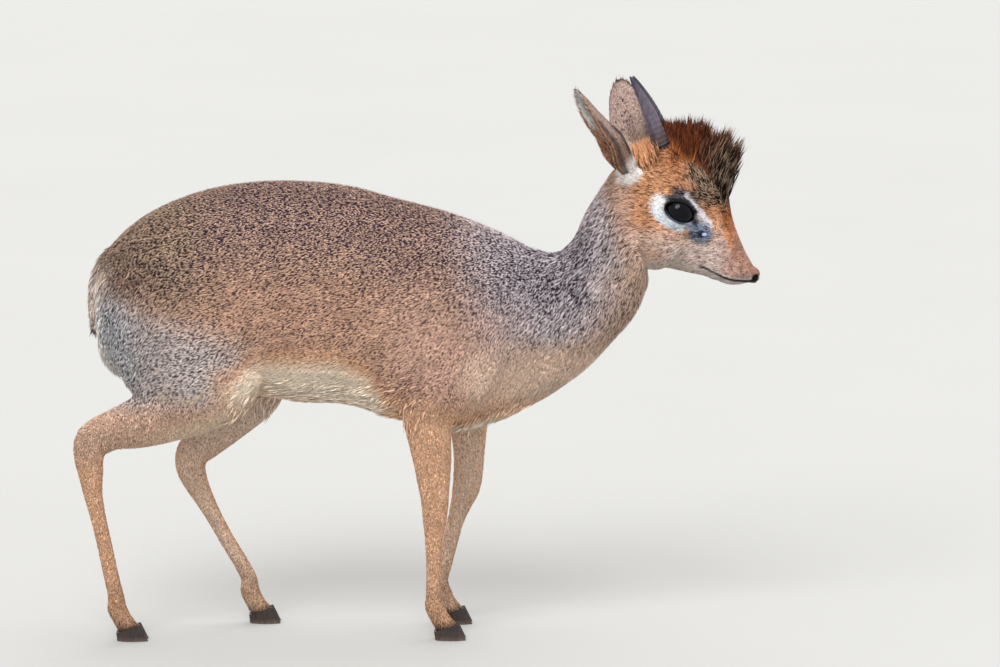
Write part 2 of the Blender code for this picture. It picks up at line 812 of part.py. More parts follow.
def head_pieces():
    """Forms of the head before it is melted with the neck."""
    pieces = [outline_form("skull", HEAD)]
    for name, (centre, half_sizes) in HEAD_FORMS.items():
        sides = (RIGHT, LEFT) if centre[1] else (LEFT,)
        pieces += [blob(name, mirrored(centre, side), half_sizes) for side in sides]
    for side in (RIGHT, LEFT):
        lid = EYE_RADIUS + LID_THICKNESS
        pieces.append(blob("lids", mirrored(EYE_CENTRE, side), (lid, lid, lid)))
    turn = head_turn()
    for piece in pieces:
        piece.data.transform(scaled(turn))
    return pieces


def scaled(matrix):
    """The same move in metres as a matrix makes in millimetres."""
    scale = Matrix.Scale(MM, 4)
    return scale @ matrix @ scale.inverted()


def grown(stations, margin):
    """A limb's stations with a margin round it and past both its ends."""
    rows = [[x, y, z, depth + margin, width + margin] for x, y, z, depth, width in stations]
    for end, inner in ((0, 1), (-1, -2)):
        here, there = Vector(rows[end][:3]), Vector(rows[inner][:3])
        rows[end][:3] = here + (here - there).normalized() * margin
    return rows


def body_pieces():
    pieces = [outline_form("trunk", TRUNK), outline_form("neck_form", NECK)]
    pieces.append(limb_form("thigh", HIND_RIGHT_THIGH, RIGHT))
    pieces.append(limb_form("thigh", HIND_LEFT_THIGH, LEFT))
    for limb, side in LIMBS.values():
        pieces.append(limb_form("limb", foot_stations(limb), side))
    return pieces


def cut_sheets():
    sheets = []
    for name, (point, normal, (high, wide)) in CUTS.items():
        hint = (0, 1, 0) if name in ("neck_base", "head_base") else (1, 0, 0)
        axes = frame_on(normal, hint)
        sheets.append(box(name, point, axes, (high, wide, GAP / 2)))
    return sheets


def mouth_cutter(surface):
    """Ribbon along the line of the mouth, from one corner round the front to the other."""
    path = []
    for x, z in MOUTH_LINE:
        hit = surface.ray_cast(Vector((x, 60, z)) * MM, Vector((0, -1, 0)))[0]
        path.append(Vector((x, hit.y / MM, z)))
    front = Vector((MOUTH_FRONT_X, 0, MOUTH_LINE[-1][1]))
    half = path + [front]
    points = half + [mirrored(p, -1) for p in reversed(path)]
    rings = []
    up = Vector((0, 0, MOUTH_GROOVE / 2))
    for i, point in enumerate(points):
        along = points[min(i + 1, len(points) - 1)] - points[max(i - 1, 0)]
        out = Vector((along.y, -along.x, 0)).normalized() * -1
        if out.dot(Vector((point.x - 262, point.y, 0))) < 0:
            out = -out
        inner, outer = point - out * MOUTH_DEPTH, point + out * 4
        rings.append([inner - up, outer - up, outer + up, inner + up])
    return loft("mouth", rings)


def lock(root, direction, across, length, width, curl):
    """Flat tapered tuft that bends towards the head's front, with its root below the skin."""
    flat = direction.cross(across).normalized()
    rings = []
    for share, swell in LOCK_STEPS:
        centre = root + direction * (length * share) + across * (curl * length * share**2)
        half_width = across * (width * swell / 2)
        half_thickness = flat * (LOCK_THICKNESS * swell / 2)
        rings.append([centre + half_width, centre + half_thickness,
                      centre - half_width, centre - half_thickness])
    tip = root + direction * length + across * (curl * length)
    return loft("lock", rings, tip=tip)


def crest(surface):
    """Locks rooted across the crown; they stand up behind and lean forward in front."""
    draw = random.Random(CREST_SEED)
    locks = []
    for row in range(CREST_ROWS):
        share = row / (CREST_ROWS - 1)
        x = CREST_FIRST_X + (CREST_LAST_X - CREST_FIRST_X) * share
        spots = (-1.0, -0.5, 0.0, 0.5, 1.0) if row % 2 == 0 else (-0.75, -0.25, 0.25, 0.75)
        for spot in spots:
            y = spot * CREST_HALF_WIDTH * (1 - 0.35 * share) + draw.uniform(-0.8, 0.8)
            start = Vector((x + draw.uniform(-1.5, 1.5), y, 470))
            hit = surface.ray_cast(start * MM, Vector((0, 0, -1)))[0]
            lean = CREST_LEAN[0] + (CREST_LEAN[1] - CREST_LEAN[0]) * share + draw.uniform(-6, 6)
            fan = spot * CREST_FAN + draw.uniform(-4, 4)
            turn = Matrix.Rotation(math.radians(lean), 3, "Y") @ Matrix.Rotation(math.radians(-fan), 3, "X")
            direction = turn @ Vector((0, 0, 1))
            across = (Vector((1, 0, 0)) - direction * direction.x).normalized()
            across = Matrix.Rotation(math.radians(draw.uniform(-25, 25)), 3, direction) @ across
            length = CREST_LENGTHS[0] + (CREST_LENGTHS[1] - CREST_LENGTHS[0]) * share
            length *= 1 - CREST_SIDE_LOSS * spot**2 + draw.uniform(-0.10, 0.03)
            root = hit / MM - direction * LOCK_SINK
            width = LOCK_WIDTH * draw.uniform(0.85, 1.15)
            locks.append(lock(root, direction, across, length + LOCK_SINK, width,
                              LOCK_CURL * draw.uniform(0.2, 1.4)))
    return locks


def finish_head(head):
    """Sockets, lids, mouth, nostrils, gland pits, horn and ear roots and the crest."""
    turn = head_turn()
    head.data.transform(scaled(turn.inverted()))
    bm = bmesh.new()
    bm.from_mesh(head.data)
    surface = BVHTree.FromBMesh(bm)
    bm.free()
    roots = []
    cutters = [mouth_cutter(surface)]
    for side in (RIGHT, LEFT):
        roots += [pedicle(side), ear_root(side)]
        radius = EYE_RADIUS + GAP
        cutters.append(blob("socket", mirrored(EYE_CENTRE, side), (radius,) * 3))
        cutters.append(lid_opening(side))
        cutters.append(horn("horn_room", side, grown=0.5, start=HORN_ROOM_START))
        cutters.append(blob("nostril", mirrored(NOSTRIL, side), NOSTRIL_SIZE, level=2))
        cutters.append(blob("gland", mirrored(GLAND_PIT, side), GLAND_PIT_SIZE, level=2))
    core = outline_form("crest_core", CREST_CORE, 2, 12)
    boolean(head, roots + [core] + crest(surface), "UNION")
    boolean(head, cutters, "DIFFERENCE")
    head.data.transform(scaled(turn))
    return keep_largest(head)


def place(obj, name, slot, parent):
    """Names the node, sets its origin to the middle of its box, and parents it."""
    obj.name = name
    obj.data.name = name
    low, high = corners(obj)
    middle = (low + high) / 2
    obj.data.transform(Matrix.Translation(-middle))
    obj.location = middle
    obj.parent = parent
    obj.data.materials.clear()
    obj.data.materials.append(slot)
    obj.data.shade_smooth()
    obj.data.set_sharp_from_angle(angle=math.radians(50))


def corners(obj):
    points = np.array([v.co for v in obj.data.vertices])
    return Vector(points.min(axis=0)), Vector(points.max(axis=0))


def build():
    clear_scene()
    whole = melted("animal", body_pieces() + head_pieces(), VOXEL, 6)
    cutters = [foot_cutter(limb, side) for limb, side in LIMBS.values()]
    boolean(whole, cut_sheets() + cutters, "DIFFERENCE")
    nodes = parted(whole)
    for name, obj in nodes.items():
        decimated(obj, PARTS[name][1])
    finish_head(nodes["head"])
    nodes["tail"] = limb_form("tail", TAIL, LEFT, steps=2, sides=12)
    room = limb_form("tail_room", grown(TAIL, TAIL_ROOM), LEFT, steps=2, sides=12)
    boolean(nodes["torso"], [room], "DIFFERENCE")
    turn = head_turn()
    for word, side in (("right", RIGHT), ("left", LEFT)):
        nodes[f"eye_{word}"] = blob("eye", mirrored(EYE_CENTRE, side), (EYE_RADIUS,) * 3)
        nodes[f"horn_{word}"] = horn("horn", side)
        nodes[f"ear_{word}"] = ear("ear", side)
        for part in ("eye", "horn", "ear"):
            nodes[f"{part}_{word}"].data.transform(scaled(turn))
    for name, (limb, side) in LIMBS.items():
        nodes[f"hoof_{name}"] = hoof("hoof", limb, side)
    looks = {name: material(name) for name in COLOURS}
    slots = {"torso": "coat_back", "neck": "coat_neck", "head": "coat_head", "leg": "coat_leg",
             "tail": "coat_tail", "ear": "coat_ear", "horn": "horn", "hoof": "hoof", "eye": "eye"}
    bounds = [corners(obj) for obj in nodes.values()]
    low = Vector([min(pair[0][k] for pair in bounds) for k in range(3)])
    high = Vector([max(pair[1][k] for pair in bounds) for k in range(3)])
    stand = bpy.data.objects.new("dik_dik", None)
    bpy.context.collection.objects.link(stand)
    stand.location = (-(low.x + high.x) / 2, -(low.y + high.y) / 2, -low.z)
    for name, obj in nodes.items():
        place(obj, name, looks[slots[name.split("_")[0]]], stand)


build()
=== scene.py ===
"""Looks of a life-size standing adult male dik-dik, a still museum model.

Design sizes are in millimetres: X along the body with the head at +X, the animal's right side
at -Y, Z up from the floor. One skin carries short fur in tufts; ears, eyes, horns and hooves
are separate pieces.
"""

import math

import bmesh
import bpy
import numpy as np
from mathutils import Matrix, Vector
from mathutils.bvhtree import BVHTree


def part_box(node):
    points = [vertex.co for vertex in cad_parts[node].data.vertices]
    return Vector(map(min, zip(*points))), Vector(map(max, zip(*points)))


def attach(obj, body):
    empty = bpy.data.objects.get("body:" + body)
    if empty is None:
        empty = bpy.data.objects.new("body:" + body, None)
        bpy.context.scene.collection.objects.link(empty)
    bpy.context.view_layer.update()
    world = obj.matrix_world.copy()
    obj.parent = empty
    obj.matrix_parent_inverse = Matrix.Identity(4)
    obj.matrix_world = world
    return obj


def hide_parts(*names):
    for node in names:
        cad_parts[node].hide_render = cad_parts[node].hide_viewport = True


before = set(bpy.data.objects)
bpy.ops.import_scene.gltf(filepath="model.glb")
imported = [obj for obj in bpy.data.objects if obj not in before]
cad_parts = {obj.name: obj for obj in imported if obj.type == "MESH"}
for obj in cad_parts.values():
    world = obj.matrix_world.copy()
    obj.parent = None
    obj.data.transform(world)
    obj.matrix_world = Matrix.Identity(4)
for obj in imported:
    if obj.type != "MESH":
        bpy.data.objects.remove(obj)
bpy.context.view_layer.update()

MM = 0.001
GAP = 0.3
VOXEL = 1.7
RIGHT, LEFT = -1, 1
BOTH = (RIGHT, LEFT)
SIDES = {"right": RIGHT, "left": LEFT}
SEED = 20

# Trunk, neck and head outlines: x and z of the back line, x and z of the belly line,
# half width, squareness of the section, and how much wider it is above than below.
TOP_X, TOP_Z, LOW_X, LOW_Z = range(4)
TRUNK = [
    (-252, 283, -251, 252, 14, 2.0, 0.00),
    (-250, 306, -247, 232, 32, 2.1, 0.00),
    (-237, 330, -232, 216, 44, 2.1, 0.00),
    (-208, 354, -206, 214, 53, 2.2, 0.02),
    (-166, 372, -166, 208, 58, 2.2, -0.02),
    (-124, 380, -124, 202, 61, 2.2, -0.06),
    (-83, 381, -83, 196, 63, 2.2, -0.08),
    (-42, 377, -42, 193, 62, 2.2, -0.08),
    (0, 366, -2, 180, 58, 2.2, -0.06),
    (42, 355, 42, 171, 52, 2.1, 0.00),
    (79, 341, 83, 180, 44, 2.0, 0.02),
    (108, 326, 124, 199, 36, 2.0, 0.00),
]
NECK = [
    (95, 331, 106, 190, 39, 2.0, 0.00),
    (108, 326, 124, 199, 36, 2.0, 0.00),
    (129, 322, 154, 221, 33, 2.0, 0.02),
    (143, 333, 176, 244, 31, 2.0, 0.03),
    (152, 352, 196, 268, 29, 2.0, 0.03),
    (161, 368, 206, 293, 28, 2.0, 0.03),
    (173, 384, 207, 310, 28, 2.0, 0.05),
    (190, 390, 216, 318, 27, 2.0, 0.05),
]
HEAD = [
    (168, 378, 196, 316, 26, 2.0, 0.05),
    (177, 390, 203, 312, 29, 2.0, 0.08),
    (189, 399, 211, 309, 30, 2.1, 0.10),
    (203, 405, 219, 308, 30, 2.2, 0.12),
    (220, 409, 226, 307, 28, 2.2, 0.12),
    (239, 406, 235, 305, 25, 2.2, 0.08),
    (254, 397, 244, 303, 21, 2.1, 0.00),
    (266.5, 384, 253, 301, 18, 2.0, -0.14),
    (272.5, 368, 261, 298, 15.5, 2.0, -0.24),
    (276, 351, 269, 297, 13.5, 2.0, -0.26),
    (281, 336, 276, 296, 12.2, 2.0, -0.24),
    (287, 322, 282, 296, 11, 2.0, -0.16),
    (292, 313, 287, 296, 9.5, 2.0, -0.06),
    (296, 305, 291, 297, 6, 2.0, 0.00),
]

# Soft forms of the head: centre and half sizes, each also mirrored when it is off the middle.
HEAD_FORMS = {
    "cheek": ((219, 19, 336), (23, 11, 24)),
    "cheekbone": ((236, 18.5, 344), (19, 9, 8)),
    "brow": ((234, 17, 376), (19, 10, 9)),
    "temple": ((206, 18, 380), (18, 11, 20)),
    "gland_mound": ((255, 15.5, 339), (9.5, 6.5, 9)),
    "upper_lip": ((276, 7.5, 306), (15, 6.5, 7)),
    "nose_pad": ((293, 0, 303), (6, 8.5, 7)),
    "chin": ((277, 0, 299), (13, 8.5, 4.5)),
    "jaw_corner": ((213, 13, 318), (14, 9, 10)),
}

# The head is turned a little to the animal's right and lifted about its joint with the neck.
HEAD_JOINT = (195, 0, 345)
HEAD_YAW = 7.0
HEAD_LIFT = 0.4

EYE_RADIUS = 14.5
EYE_CENTRE = (232.8, 16.8, 358.0)
EYE_AXIS = (0.22, 0.96, 0.10)
EYE_TILT = 25.0
EYE_GRID = (60, 96)
EYE_BULGE = 0.035
PUPIL = (6.6, 4.2)
LID_THICKNESS = 2.6
LID_OPENING = (13.3, 8.4)
LID_GRID = (88, 10)
TEAR_CORNER = 2.6
UPPER_RIM, LOWER_RIM = 0.72, 0.62

GLAND_PIT = (254.5, 22.5, 339.5)
GLAND_PIT_SIZE = (2.8, 3.0, 1.7)
GLAND_BEAD = (GLAND_PIT[0], GLAND_PIT[1] - 1.3, GLAND_PIT[2] + 0.2)
GLAND_BEAD_SIZE = (2.2, 2.1, 1.7)
NOSTRIL = (295.5, 5.6, 301.5)
NOSTRIL_SIZE = (3.6, 2.1, 2.8)
MOUTH_LINE = [(255, 311), (262, 306.5), (270, 302.5), (279, 300), (287, 299)]
MOUTH_FRONT_X = 294
MOUTH_GROOVE = 1.0
MOUTH_DEPTH = 2.2

HORN_BASE = (218.0, 13, 412.5)
HORN_TIPS = {RIGHT: (192.5, 15, 470), LEFT: (191.7, 16, 466)}
HORN_BASE_RADIUS = 7.0
HORN_TIP_RADIUS = 0.5
HORN_TAPER = 0.72
HORN_DEPTH_RATIO = 1.12
HORN_RINGS = 7
HORN_RINGED_SHARE = 0.62
HORN_RING_HEIGHT = 0.30
HORN_WAVE = 0.10
HORN_GRID = (90, 32)
HORN_BEND = 2.0
# Depth below the horn's foot, and radius, of the furred root that carries it.
PEDICLE = ((-15, 8.2), (-8, 8.8), (-3, 8.4), (0, 7.3))

EAR_BASE = (190.5, 27, 397)
EAR_TIPS = {RIGHT: (154, 58, 464), LEFT: (176, 54, 457)}
EAR_FACING = {RIGHT: (-0.87, 0.49, 0.00), LEFT: (0.22, 0.97, 0.10)}
EAR_BOW = 6.0
# Depth of the ear's root in the head, and its width as a share of the ear's.
EAR_ROOT = ((-26, 1.25), (-12, 1.2), (-4, 1.12), (0, 1.06))
# Share of the ear's length, half width along the curved leaf, half angle of the leaf's curl.
EAR_LEAF = [
    (0.00, 23.0, 150),
    (0.15, 27.5, 122),
    (0.32, 27.5, 96),
    (0.50, 25.0, 80),
    (0.68, 20.5, 66),
    (0.84, 14.5, 54),
    (0.95, 7.5, 44),
    (1.00, 2.4, 36),
]

# Limb centre lines from the body down: x, distance from the middle, z, half depth, half width.
FORE_RIGHT = [
    (46, 28, 312, 22, 12),
    (50, 34, 284, 34, 15),
    (52, 38, 250, 39, 17.5),
    (42, 40, 220, 35, 18),
    (28, 39, 200, 26, 16.5),
    (24, 37, 186, 22, 15),
    (25, 36, 169, 18.8, 13.5),
    (27, 35, 152, 16.8, 12),
    (28, 34, 135, 14.6, 11),
    (29, 33.5, 118, 12.4, 10.5),
    (29, 33, 101, 10.8, 9.5),
    (28, 32.5, 80, 7.8, 7.2),
    (28, 32, 59, 7.1, 6.6),
    (28, 32, 38, 7.4, 6.9),
]
FORE_LEFT = [
    (56, 28, 312, 22, 12),
    (64, 34, 284, 32, 15),
    (70, 38, 250, 36, 17.5),
    (68, 40, 220, 31, 18),
    (60, 39, 198, 24, 16),
    (57, 38, 180, 19, 14.5),
    (57, 36, 160, 15.5, 12.5),
    (57, 35, 140, 13.6, 11.5),
    (56, 34, 124, 13, 11),
    (54, 33.5, 113, 12, 10.5),
    (50.5, 33, 102, 9.8, 9.2),
    (46, 32.5, 88, 7.8, 7.4),
    (42, 32, 72, 7.2, 6.8),
    (37, 32, 52, 7.1, 6.6),
    (33, 32, 38, 7.4, 6.9),
]
HIND_RIGHT_THIGH = [
    (-188, 30, 340, 34, 16),
    (-184, 35, 305, 52, 22),
    (-178, 38, 270, 62, 26),
    (-172, 40, 238, 60, 25),
    (-158, 40, 214, 44, 22),
]
HIND_RIGHT = [
    (-124, 35, 236, 22, 13),
    (-136, 38, 228, 30, 17),
    (-150, 40, 218, 34, 20),
    (-172, 40, 206, 33, 19),
    (-196, 40, 193, 27, 17),
    (-218, 39, 184, 22, 14.5),
    (-238, 38, 178, 17.5, 12),
    (-253, 37, 169, 16.5, 11),
    (-257, 36.5, 156, 13.5, 10.5),
    (-256, 36, 143, 11.5, 9.5),
    (-254, 36, 124, 8.8, 8),
    (-250, 35.5, 104, 7.3, 7),
    (-245, 35, 81, 7.1, 6.7),
    (-240, 35, 56, 7.1, 6.6),
    (-236, 35, 38, 7.5, 7),
]
HIND_LEFT_THIGH = [
    (-186, 30, 338, 34, 16),
    (-176, 35, 302, 50, 22),
    (-158, 38, 266, 56, 26),
    (-142, 40, 234, 48, 25),
    (-128, 40, 212, 36, 22),
]
HIND_LEFT = [
    (-90, 35, 236, 20, 13),
    (-103, 38, 227, 27, 17),
    (-118, 40, 216, 30, 20),
    (-132, 40, 192, 28, 18),
    (-148, 39, 172, 22, 15),
    (-163, 38, 156, 17.5, 12.5),
    (-174, 37, 145, 15, 11),
    (-176, 36.5, 133, 13.5, 10.5),
    (-172, 36, 120, 11.3, 9.5),
    (-165, 36, 106, 9, 8),
    (-156, 35.5, 89, 7.4, 7),
    (-145, 35, 69, 7.1, 6.7),
    (-135, 35, 52, 7.1, 6.6),
    (-128, 35, 38, 7.5, 7),
]

# A foot below the fetlock, as steps forward and heights: joint, pastern and the root of the hoof.
FETLOCK = (1.0, 27, 9.0, 7.6)
PASTERN = (5.5, 18, 8.4, 7.4)
CORONET = (10.5, 10, 8.6, 7.8)
SOLE_ROOT = (14.0, 3, 8.0, 7.2)
FOOT = (FETLOCK, PASTERN, CORONET, SOLE_ROOT)
HOOF_CORONET_X = 10.5
HOOF_CORONET_Z = 11.0
HOOF_CORONET_SLOPE = 0.35
CLAW_CENTRE_X = 14.0
CLAW_LENGTH = 26.0
CLAW_TOP_LENGTH = 18.0
CLAW_WIDTH = 9.4
CLAW_SPREAD = 4.1
CLAW_SPLAY = 1.4
CLAW_TOP_HEIGHT = 22.0
CLAW_TOP_SETBACK = 6.5
CLAW_TOE_TAPER = 0.45
CLAW_HEIGHTS = (0.0, 0.04, 0.10, 0.20, 0.32, 0.45, 0.6, 0.8, 1.0)
CUTTER_SIZE = (40, 20, 20)

LIMBS = {
    "fore_right": (FORE_RIGHT, RIGHT),
    "fore_left": (FORE_LEFT, LEFT),
    "hind_right": (HIND_RIGHT, RIGHT),
    "hind_left": (HIND_LEFT, LEFT),
}

TAIL = [
    (-236, 0, 323, 6.5, 8),
    (-245, 0, 313, 6.5, 9),
    (-251, 0, 299, 6.0, 8.5),
    (-253, 0, 284, 5.2, 7.5),
    (-253.5, 0, 270, 4.2, 5.8),
    (-253.5, 0, 258, 2.4, 3),
]


def head_turn():
    """Matrix that yaws and lifts the head about its joint with the neck."""
    joint = Matrix.Translation(Vector(HEAD_JOINT))
    yaw = Matrix.Rotation(math.radians(-HEAD_YAW), 4, "Z")
    lift = Matrix.Rotation(math.radians(-HEAD_LIFT), 4, "Y")
    return joint @ yaw @ lift @ joint.inverted()


def smooth_rows(rows, steps):
    """Rows of numbers on a smooth curve through the given rows."""
    rows = np.array(rows, float)
    ends = np.vstack([2 * rows[0] - rows[1], rows, 2 * rows[-1] - rows[-2]])
    out = []
    for i in range(1, len(ends) - 2):
        a, b, c, d = ends[i - 1 : i + 3]
        for step in range(steps):
            t = step / steps
            even = 2 * b + (2 * a - 5 * b + 4 * c - d) * t * t
            odd = (c - a) * t + (3 * b - a - 3 * c + d) * t**3
            out.append(0.5 * (even + odd))
    out.append(rows[-1])
    return np.array(out)


def angles(count):
    """Evenly spaced angles round a circle."""
    return [2 * math.pi * k / count for k in range(count)]


def object_from(bm, name):
    """Closed mesh object from a bmesh in millimetres, with its faces pointing out."""
    bmesh.ops.recalc_face_normals(bm, faces=bm.faces)
    bmesh.ops.scale(bm, vec=(MM, MM, MM), verts=bm.verts)
    if bm.calc_volume(signed=True) < 0:
        bmesh.ops.reverse_faces(bm, faces=bm.faces)
    mesh = bpy.data.meshes.new(name)
    bm.to_mesh(mesh)
    bm.free()
    return linked(name, mesh)


def loft(name, rings, tip=None):
    """Closed skin over rings of points; a tip point may take the place of the last cap."""
    bm = bmesh.new()
    rows = [[bm.verts.new(p) for p in ring] for ring in rings]
    sides = len(rows[0])
    for low, high in zip(rows, rows[1:]):
        for k in range(sides):
            bm.faces.new((low[k], low[(k + 1) % sides], high[(k + 1) % sides], high[k]))
    caps = [(rows[0], None), (rows[-1], tip)]
    for row, point in caps:
        centre = bm.verts.new(point or sum((v.co for v in row), Vector()) / sides)
        for k in range(sides):
            bm.faces.new((row[k], row[(k + 1) % sides], centre))
    return object_from(bm, name)


def outline_form(name, stations, steps=4, sides=28):
    """Form whose sections stand between a back line and a belly line."""
    rings = []
    for top_x, top_z, low_x, low_z, half_width, power, egg in smooth_rows(stations, steps):
        centre = Vector((top_x + low_x, 0, top_z + low_z)) / 2
        rise = Vector((top_x - low_x, 0, top_z - low_z)) / 2
        ring = []
        for angle in angles(sides):
            up, side = math.cos(angle), math.sin(angle)
            up = math.copysign(abs(up) ** (2 / power), up)
            side = math.copysign(abs(side) ** (2 / power), side) * (1 + egg * up)
            ring.append(centre + rise * up + Vector((0, half_width * side, 0)))
        rings.append(ring)
    return loft(name, rings)


def limb_form(name, stations, side, steps=3, sides=20):
    """Form round a centre line, with its sections square to that line."""
    rows = smooth_rows(stations, steps)
    points = [Vector((row[0], side * row[1], row[2])) for row in rows]
    rings = []
    for i, row in enumerate(rows):
        along = (points[min(i + 1, len(points) - 1)] - points[max(i - 1, 0)]).normalized()
        depth = along.cross(Vector((0, 1, 0))).normalized()
        across = depth.cross(along).normalized()
        ring = []
        for angle in angles(sides):
            spoke = depth * (row[3] * math.cos(angle)) + across * (row[4] * math.sin(angle))
            ring.append(points[i] + spoke)
        rings.append(ring)
    return loft(name, rings)


def blob(name, centre, half_sizes, axes=None, level=3):
    """Ellipsoid, turned by a 3 x 3 matrix where one is given."""
    bm = bmesh.new()
    bmesh.ops.create_icosphere(bm, subdivisions=level, radius=1.0)
    turn = (axes or Matrix.Identity(3)).to_4x4()
    place = Matrix.Translation(Vector(centre)) @ turn @ Matrix.Diagonal((*half_sizes, 1.0))
    bmesh.ops.transform(bm, matrix=place, verts=bm.verts)
    return object_from(bm, name)


def frame_on(normal, hint=(0, 0, 1)):
    """Axes whose third one is the normal and whose second lies nearest the hint."""
    third = Vector(normal).normalized()
    first = Vector(hint).cross(third).normalized()
    second = third.cross(first)
    return Matrix((first, second, third)).transposed()


def box(name, centre, axes, half_sizes):
    bm = bmesh.new()
    bmesh.ops.create_cube(bm, size=2.0)
    place = Matrix.Translation(Vector(centre)) @ axes.to_4x4()
    place = place @ Matrix.Diagonal((*half_sizes, 1.0))
    bmesh.ops.transform(bm, matrix=place, verts=bm.verts)
    return object_from(bm, name)


def mirrored(point, side):
    return Vector((point[0], side * point[1], point[2]))


def apply_modifiers(obj):
    graph = bpy.context.evaluated_depsgraph_get()
    mesh = bpy.data.meshes.new_from_object(obj.evaluated_get(graph))
    obj.modifiers.clear()
    old = obj.data
    obj.data = mesh
    bpy.data.meshes.remove(old)
    return obj


def linked(name, data):
    """New object in the scene that shows a mesh, a light or a camera."""
    obj = bpy.data.objects.new(name, data)
    bpy.context.collection.objects.link(obj)
    return obj


def joined(name, pieces):
    """One object that holds the meshes of several, which are removed."""
    bm = bmesh.new()
    for piece in pieces:
        bm.from_mesh(piece.data)
        bpy.data.objects.remove(piece, do_unlink=True)
    mesh = bpy.data.meshes.new(name)
    bm.to_mesh(mesh)
    bm.free()
    return linked(name, mesh)


def melted(name, pieces, voxel, rounds):
    """Overlapping closed forms melted into one smooth skin."""
    obj = joined(name, pieces)
    remesh = obj.modifiers.new("melt", "REMESH")
    remesh.mode = "VOXEL"
    remesh.voxel_size = voxel * MM
    relax = obj.modifiers.new("relax", "SMOOTH")
    relax.factor = 0.5
    relax.iterations = rounds
    return apply_modifiers(obj)


def boolean(obj, tools, operation, solver="MANIFOLD"):
    """Applies one Boolean with a collection of closed objects, which are then removed."""
    group = bpy.data.collections.new("tools")
    for tool in tools:
        group.objects.link(tool)
    cut = obj.modifiers.new("boolean", "BOOLEAN")
    cut.operation = operation
    cut.operand_type = "COLLECTION"
    cut.collection = group
    cut.solver = solver
    apply_modifiers(obj)
    for tool in list(tools):
        bpy.data.objects.remove(tool, do_unlink=True)
    bpy.data.collections.remove(group)
    return obj


def foot_stations(limb):
    """The limb's centre line with the joint, pastern and hoof root added below it."""
    x, y = limb[-1][0], limb[-1][1]
    return limb + [(x + step, y, z, depth, width) for step, z, depth, width in FOOT]


def coronet_axes():
    return frame_on((-HOOF_CORONET_SLOPE, 0, 1), hint=(0, 1, 0))


def foot_cutter(limb, side):
    """Block that clears the limb below its coronet for the hoof."""
    x, y = limb[-1][0], side * limb[-1][1]
    axes = coronet_axes()
    top = Vector((x + HOOF_CORONET_X, y, HOOF_CORONET_Z))
    return box("below", top - axes.col[2] * CUTTER_SIZE[2], axes, CUTTER_SIZE)


def horn_axis(side):
    base, tip = mirrored(HORN_BASE, side), mirrored(HORN_TIPS[side], side)
    return base, tip, (tip - base).normalized()


def pedicle(side):
    """Flat-topped furred root of a horn on the crown."""
    base, _, axis = horn_axis(side)
    axes = frame_on(axis, hint=(1, 0, 0))
    rings = []
    for depth, radius in PEDICLE:
        ring = []
        for angle in angles(16):
            spoke = axes.col[0] * math.cos(angle) + axes.col[1] * math.sin(angle)
            ring.append(base + axis * depth + spoke * radius)
        rings.append(ring)
    return loft("pedicle", rings)


def ear_axes(side):
    """Base point, length, and the ear's own axes: across, towards its opening, along."""
    base, tip = mirrored(EAR_BASE, side), mirrored(EAR_TIPS[side], side)
    along = (tip - base).normalized()
    facing = mirrored(EAR_FACING[side], side)
    facing = (facing - along * facing.dot(along)).normalized()
    across = along.cross(facing)
    return base, (tip - base).length, across, facing, along


def ear_point(rows, t, s, inset, place):
    """Point of the ear's leaf at share t of its length and s from -1 to 1 across it."""
    base, length, across, facing, along = place
    half, curl = (np.interp(t, rows[:, 0], rows[:, k]) for k in (1, 2))
    curl = math.radians(curl)
    radius = half / curl
    angle = s * curl
    inner = max(radius - inset, 0.35 * radius)
    bow = EAR_BOW * math.sin(math.pi * t)
    back = facing * (radius * max(math.cos(curl), 0.0) + bow - inner * math.cos(angle))
    return base + along * (t * length) + across * (inner * math.sin(angle)) + back


def eye_axes(side):
    """The eye's own axes: along its lids, upward across them, outward."""
    out = mirrored(EYE_AXIS, side).normalized()
    ahead = Vector((1, 0, 0))
    ahead = (ahead - out * ahead.dot(out)).normalized()
    ahead = Matrix.Rotation(math.radians(EYE_TILT * side), 3, out) @ ahead
    if ahead.z > 0:
        ahead = Matrix.Rotation(math.radians(-2 * EYE_TILT * side), 3, out) @ ahead
    up = out.cross(ahead)
    if up.z < 0:
        up = -up
    return Matrix((ahead, up, out)).transposed()


def almond(angle):
    """Height of the lids' almond outline at an angle round it, as a share of its half height."""
    return math.copysign(abs(math.sin(angle)) ** 1.2, math.sin(angle))


def lid_opening(side):
    """Almond prism that opens the lids over the eyeball."""
    axes = eye_axes(side)
    centre = mirrored(EYE_CENTRE, side)
    half_length, half_height = LID_OPENING
    rings = []
    for depth, flare in ((4.0, 0.94), (EYE_RADIUS + 12, 1.12)):
        ring = []
        for angle in angles(20):
            place = Vector((half_length * math.cos(angle), half_height * almond(angle), 0)) * flare
            ring.append(centre + axes @ (place + Vector((0, 0, depth))))
        rings.append(ring)
    return loft("lid_opening", rings)


def head_pieces():
    """Forms of the head before it is melted with the neck."""
    pieces = [outline_form("skull", HEAD)]
    for name, (centre, half_sizes) in HEAD_FORMS.items():
        sides = BOTH if centre[1] else (LEFT,)
        pieces += [blob(name, mirrored(centre, side), half_sizes) for side in sides]
    for side in BOTH:
        lid = EYE_RADIUS + LID_THICKNESS
        pieces.append(blob("lids", mirrored(EYE_CENTRE, side), (lid, lid, lid)))
    turn = head_turn()
    for piece in pieces:
        piece.data.transform(scaled(turn))
    return pieces


def scaled(matrix):
    """The same move in metres as a matrix makes in millimetres."""
    scale = Matrix.Scale(MM, 4)
    return scale @ matrix @ scale.inverted()


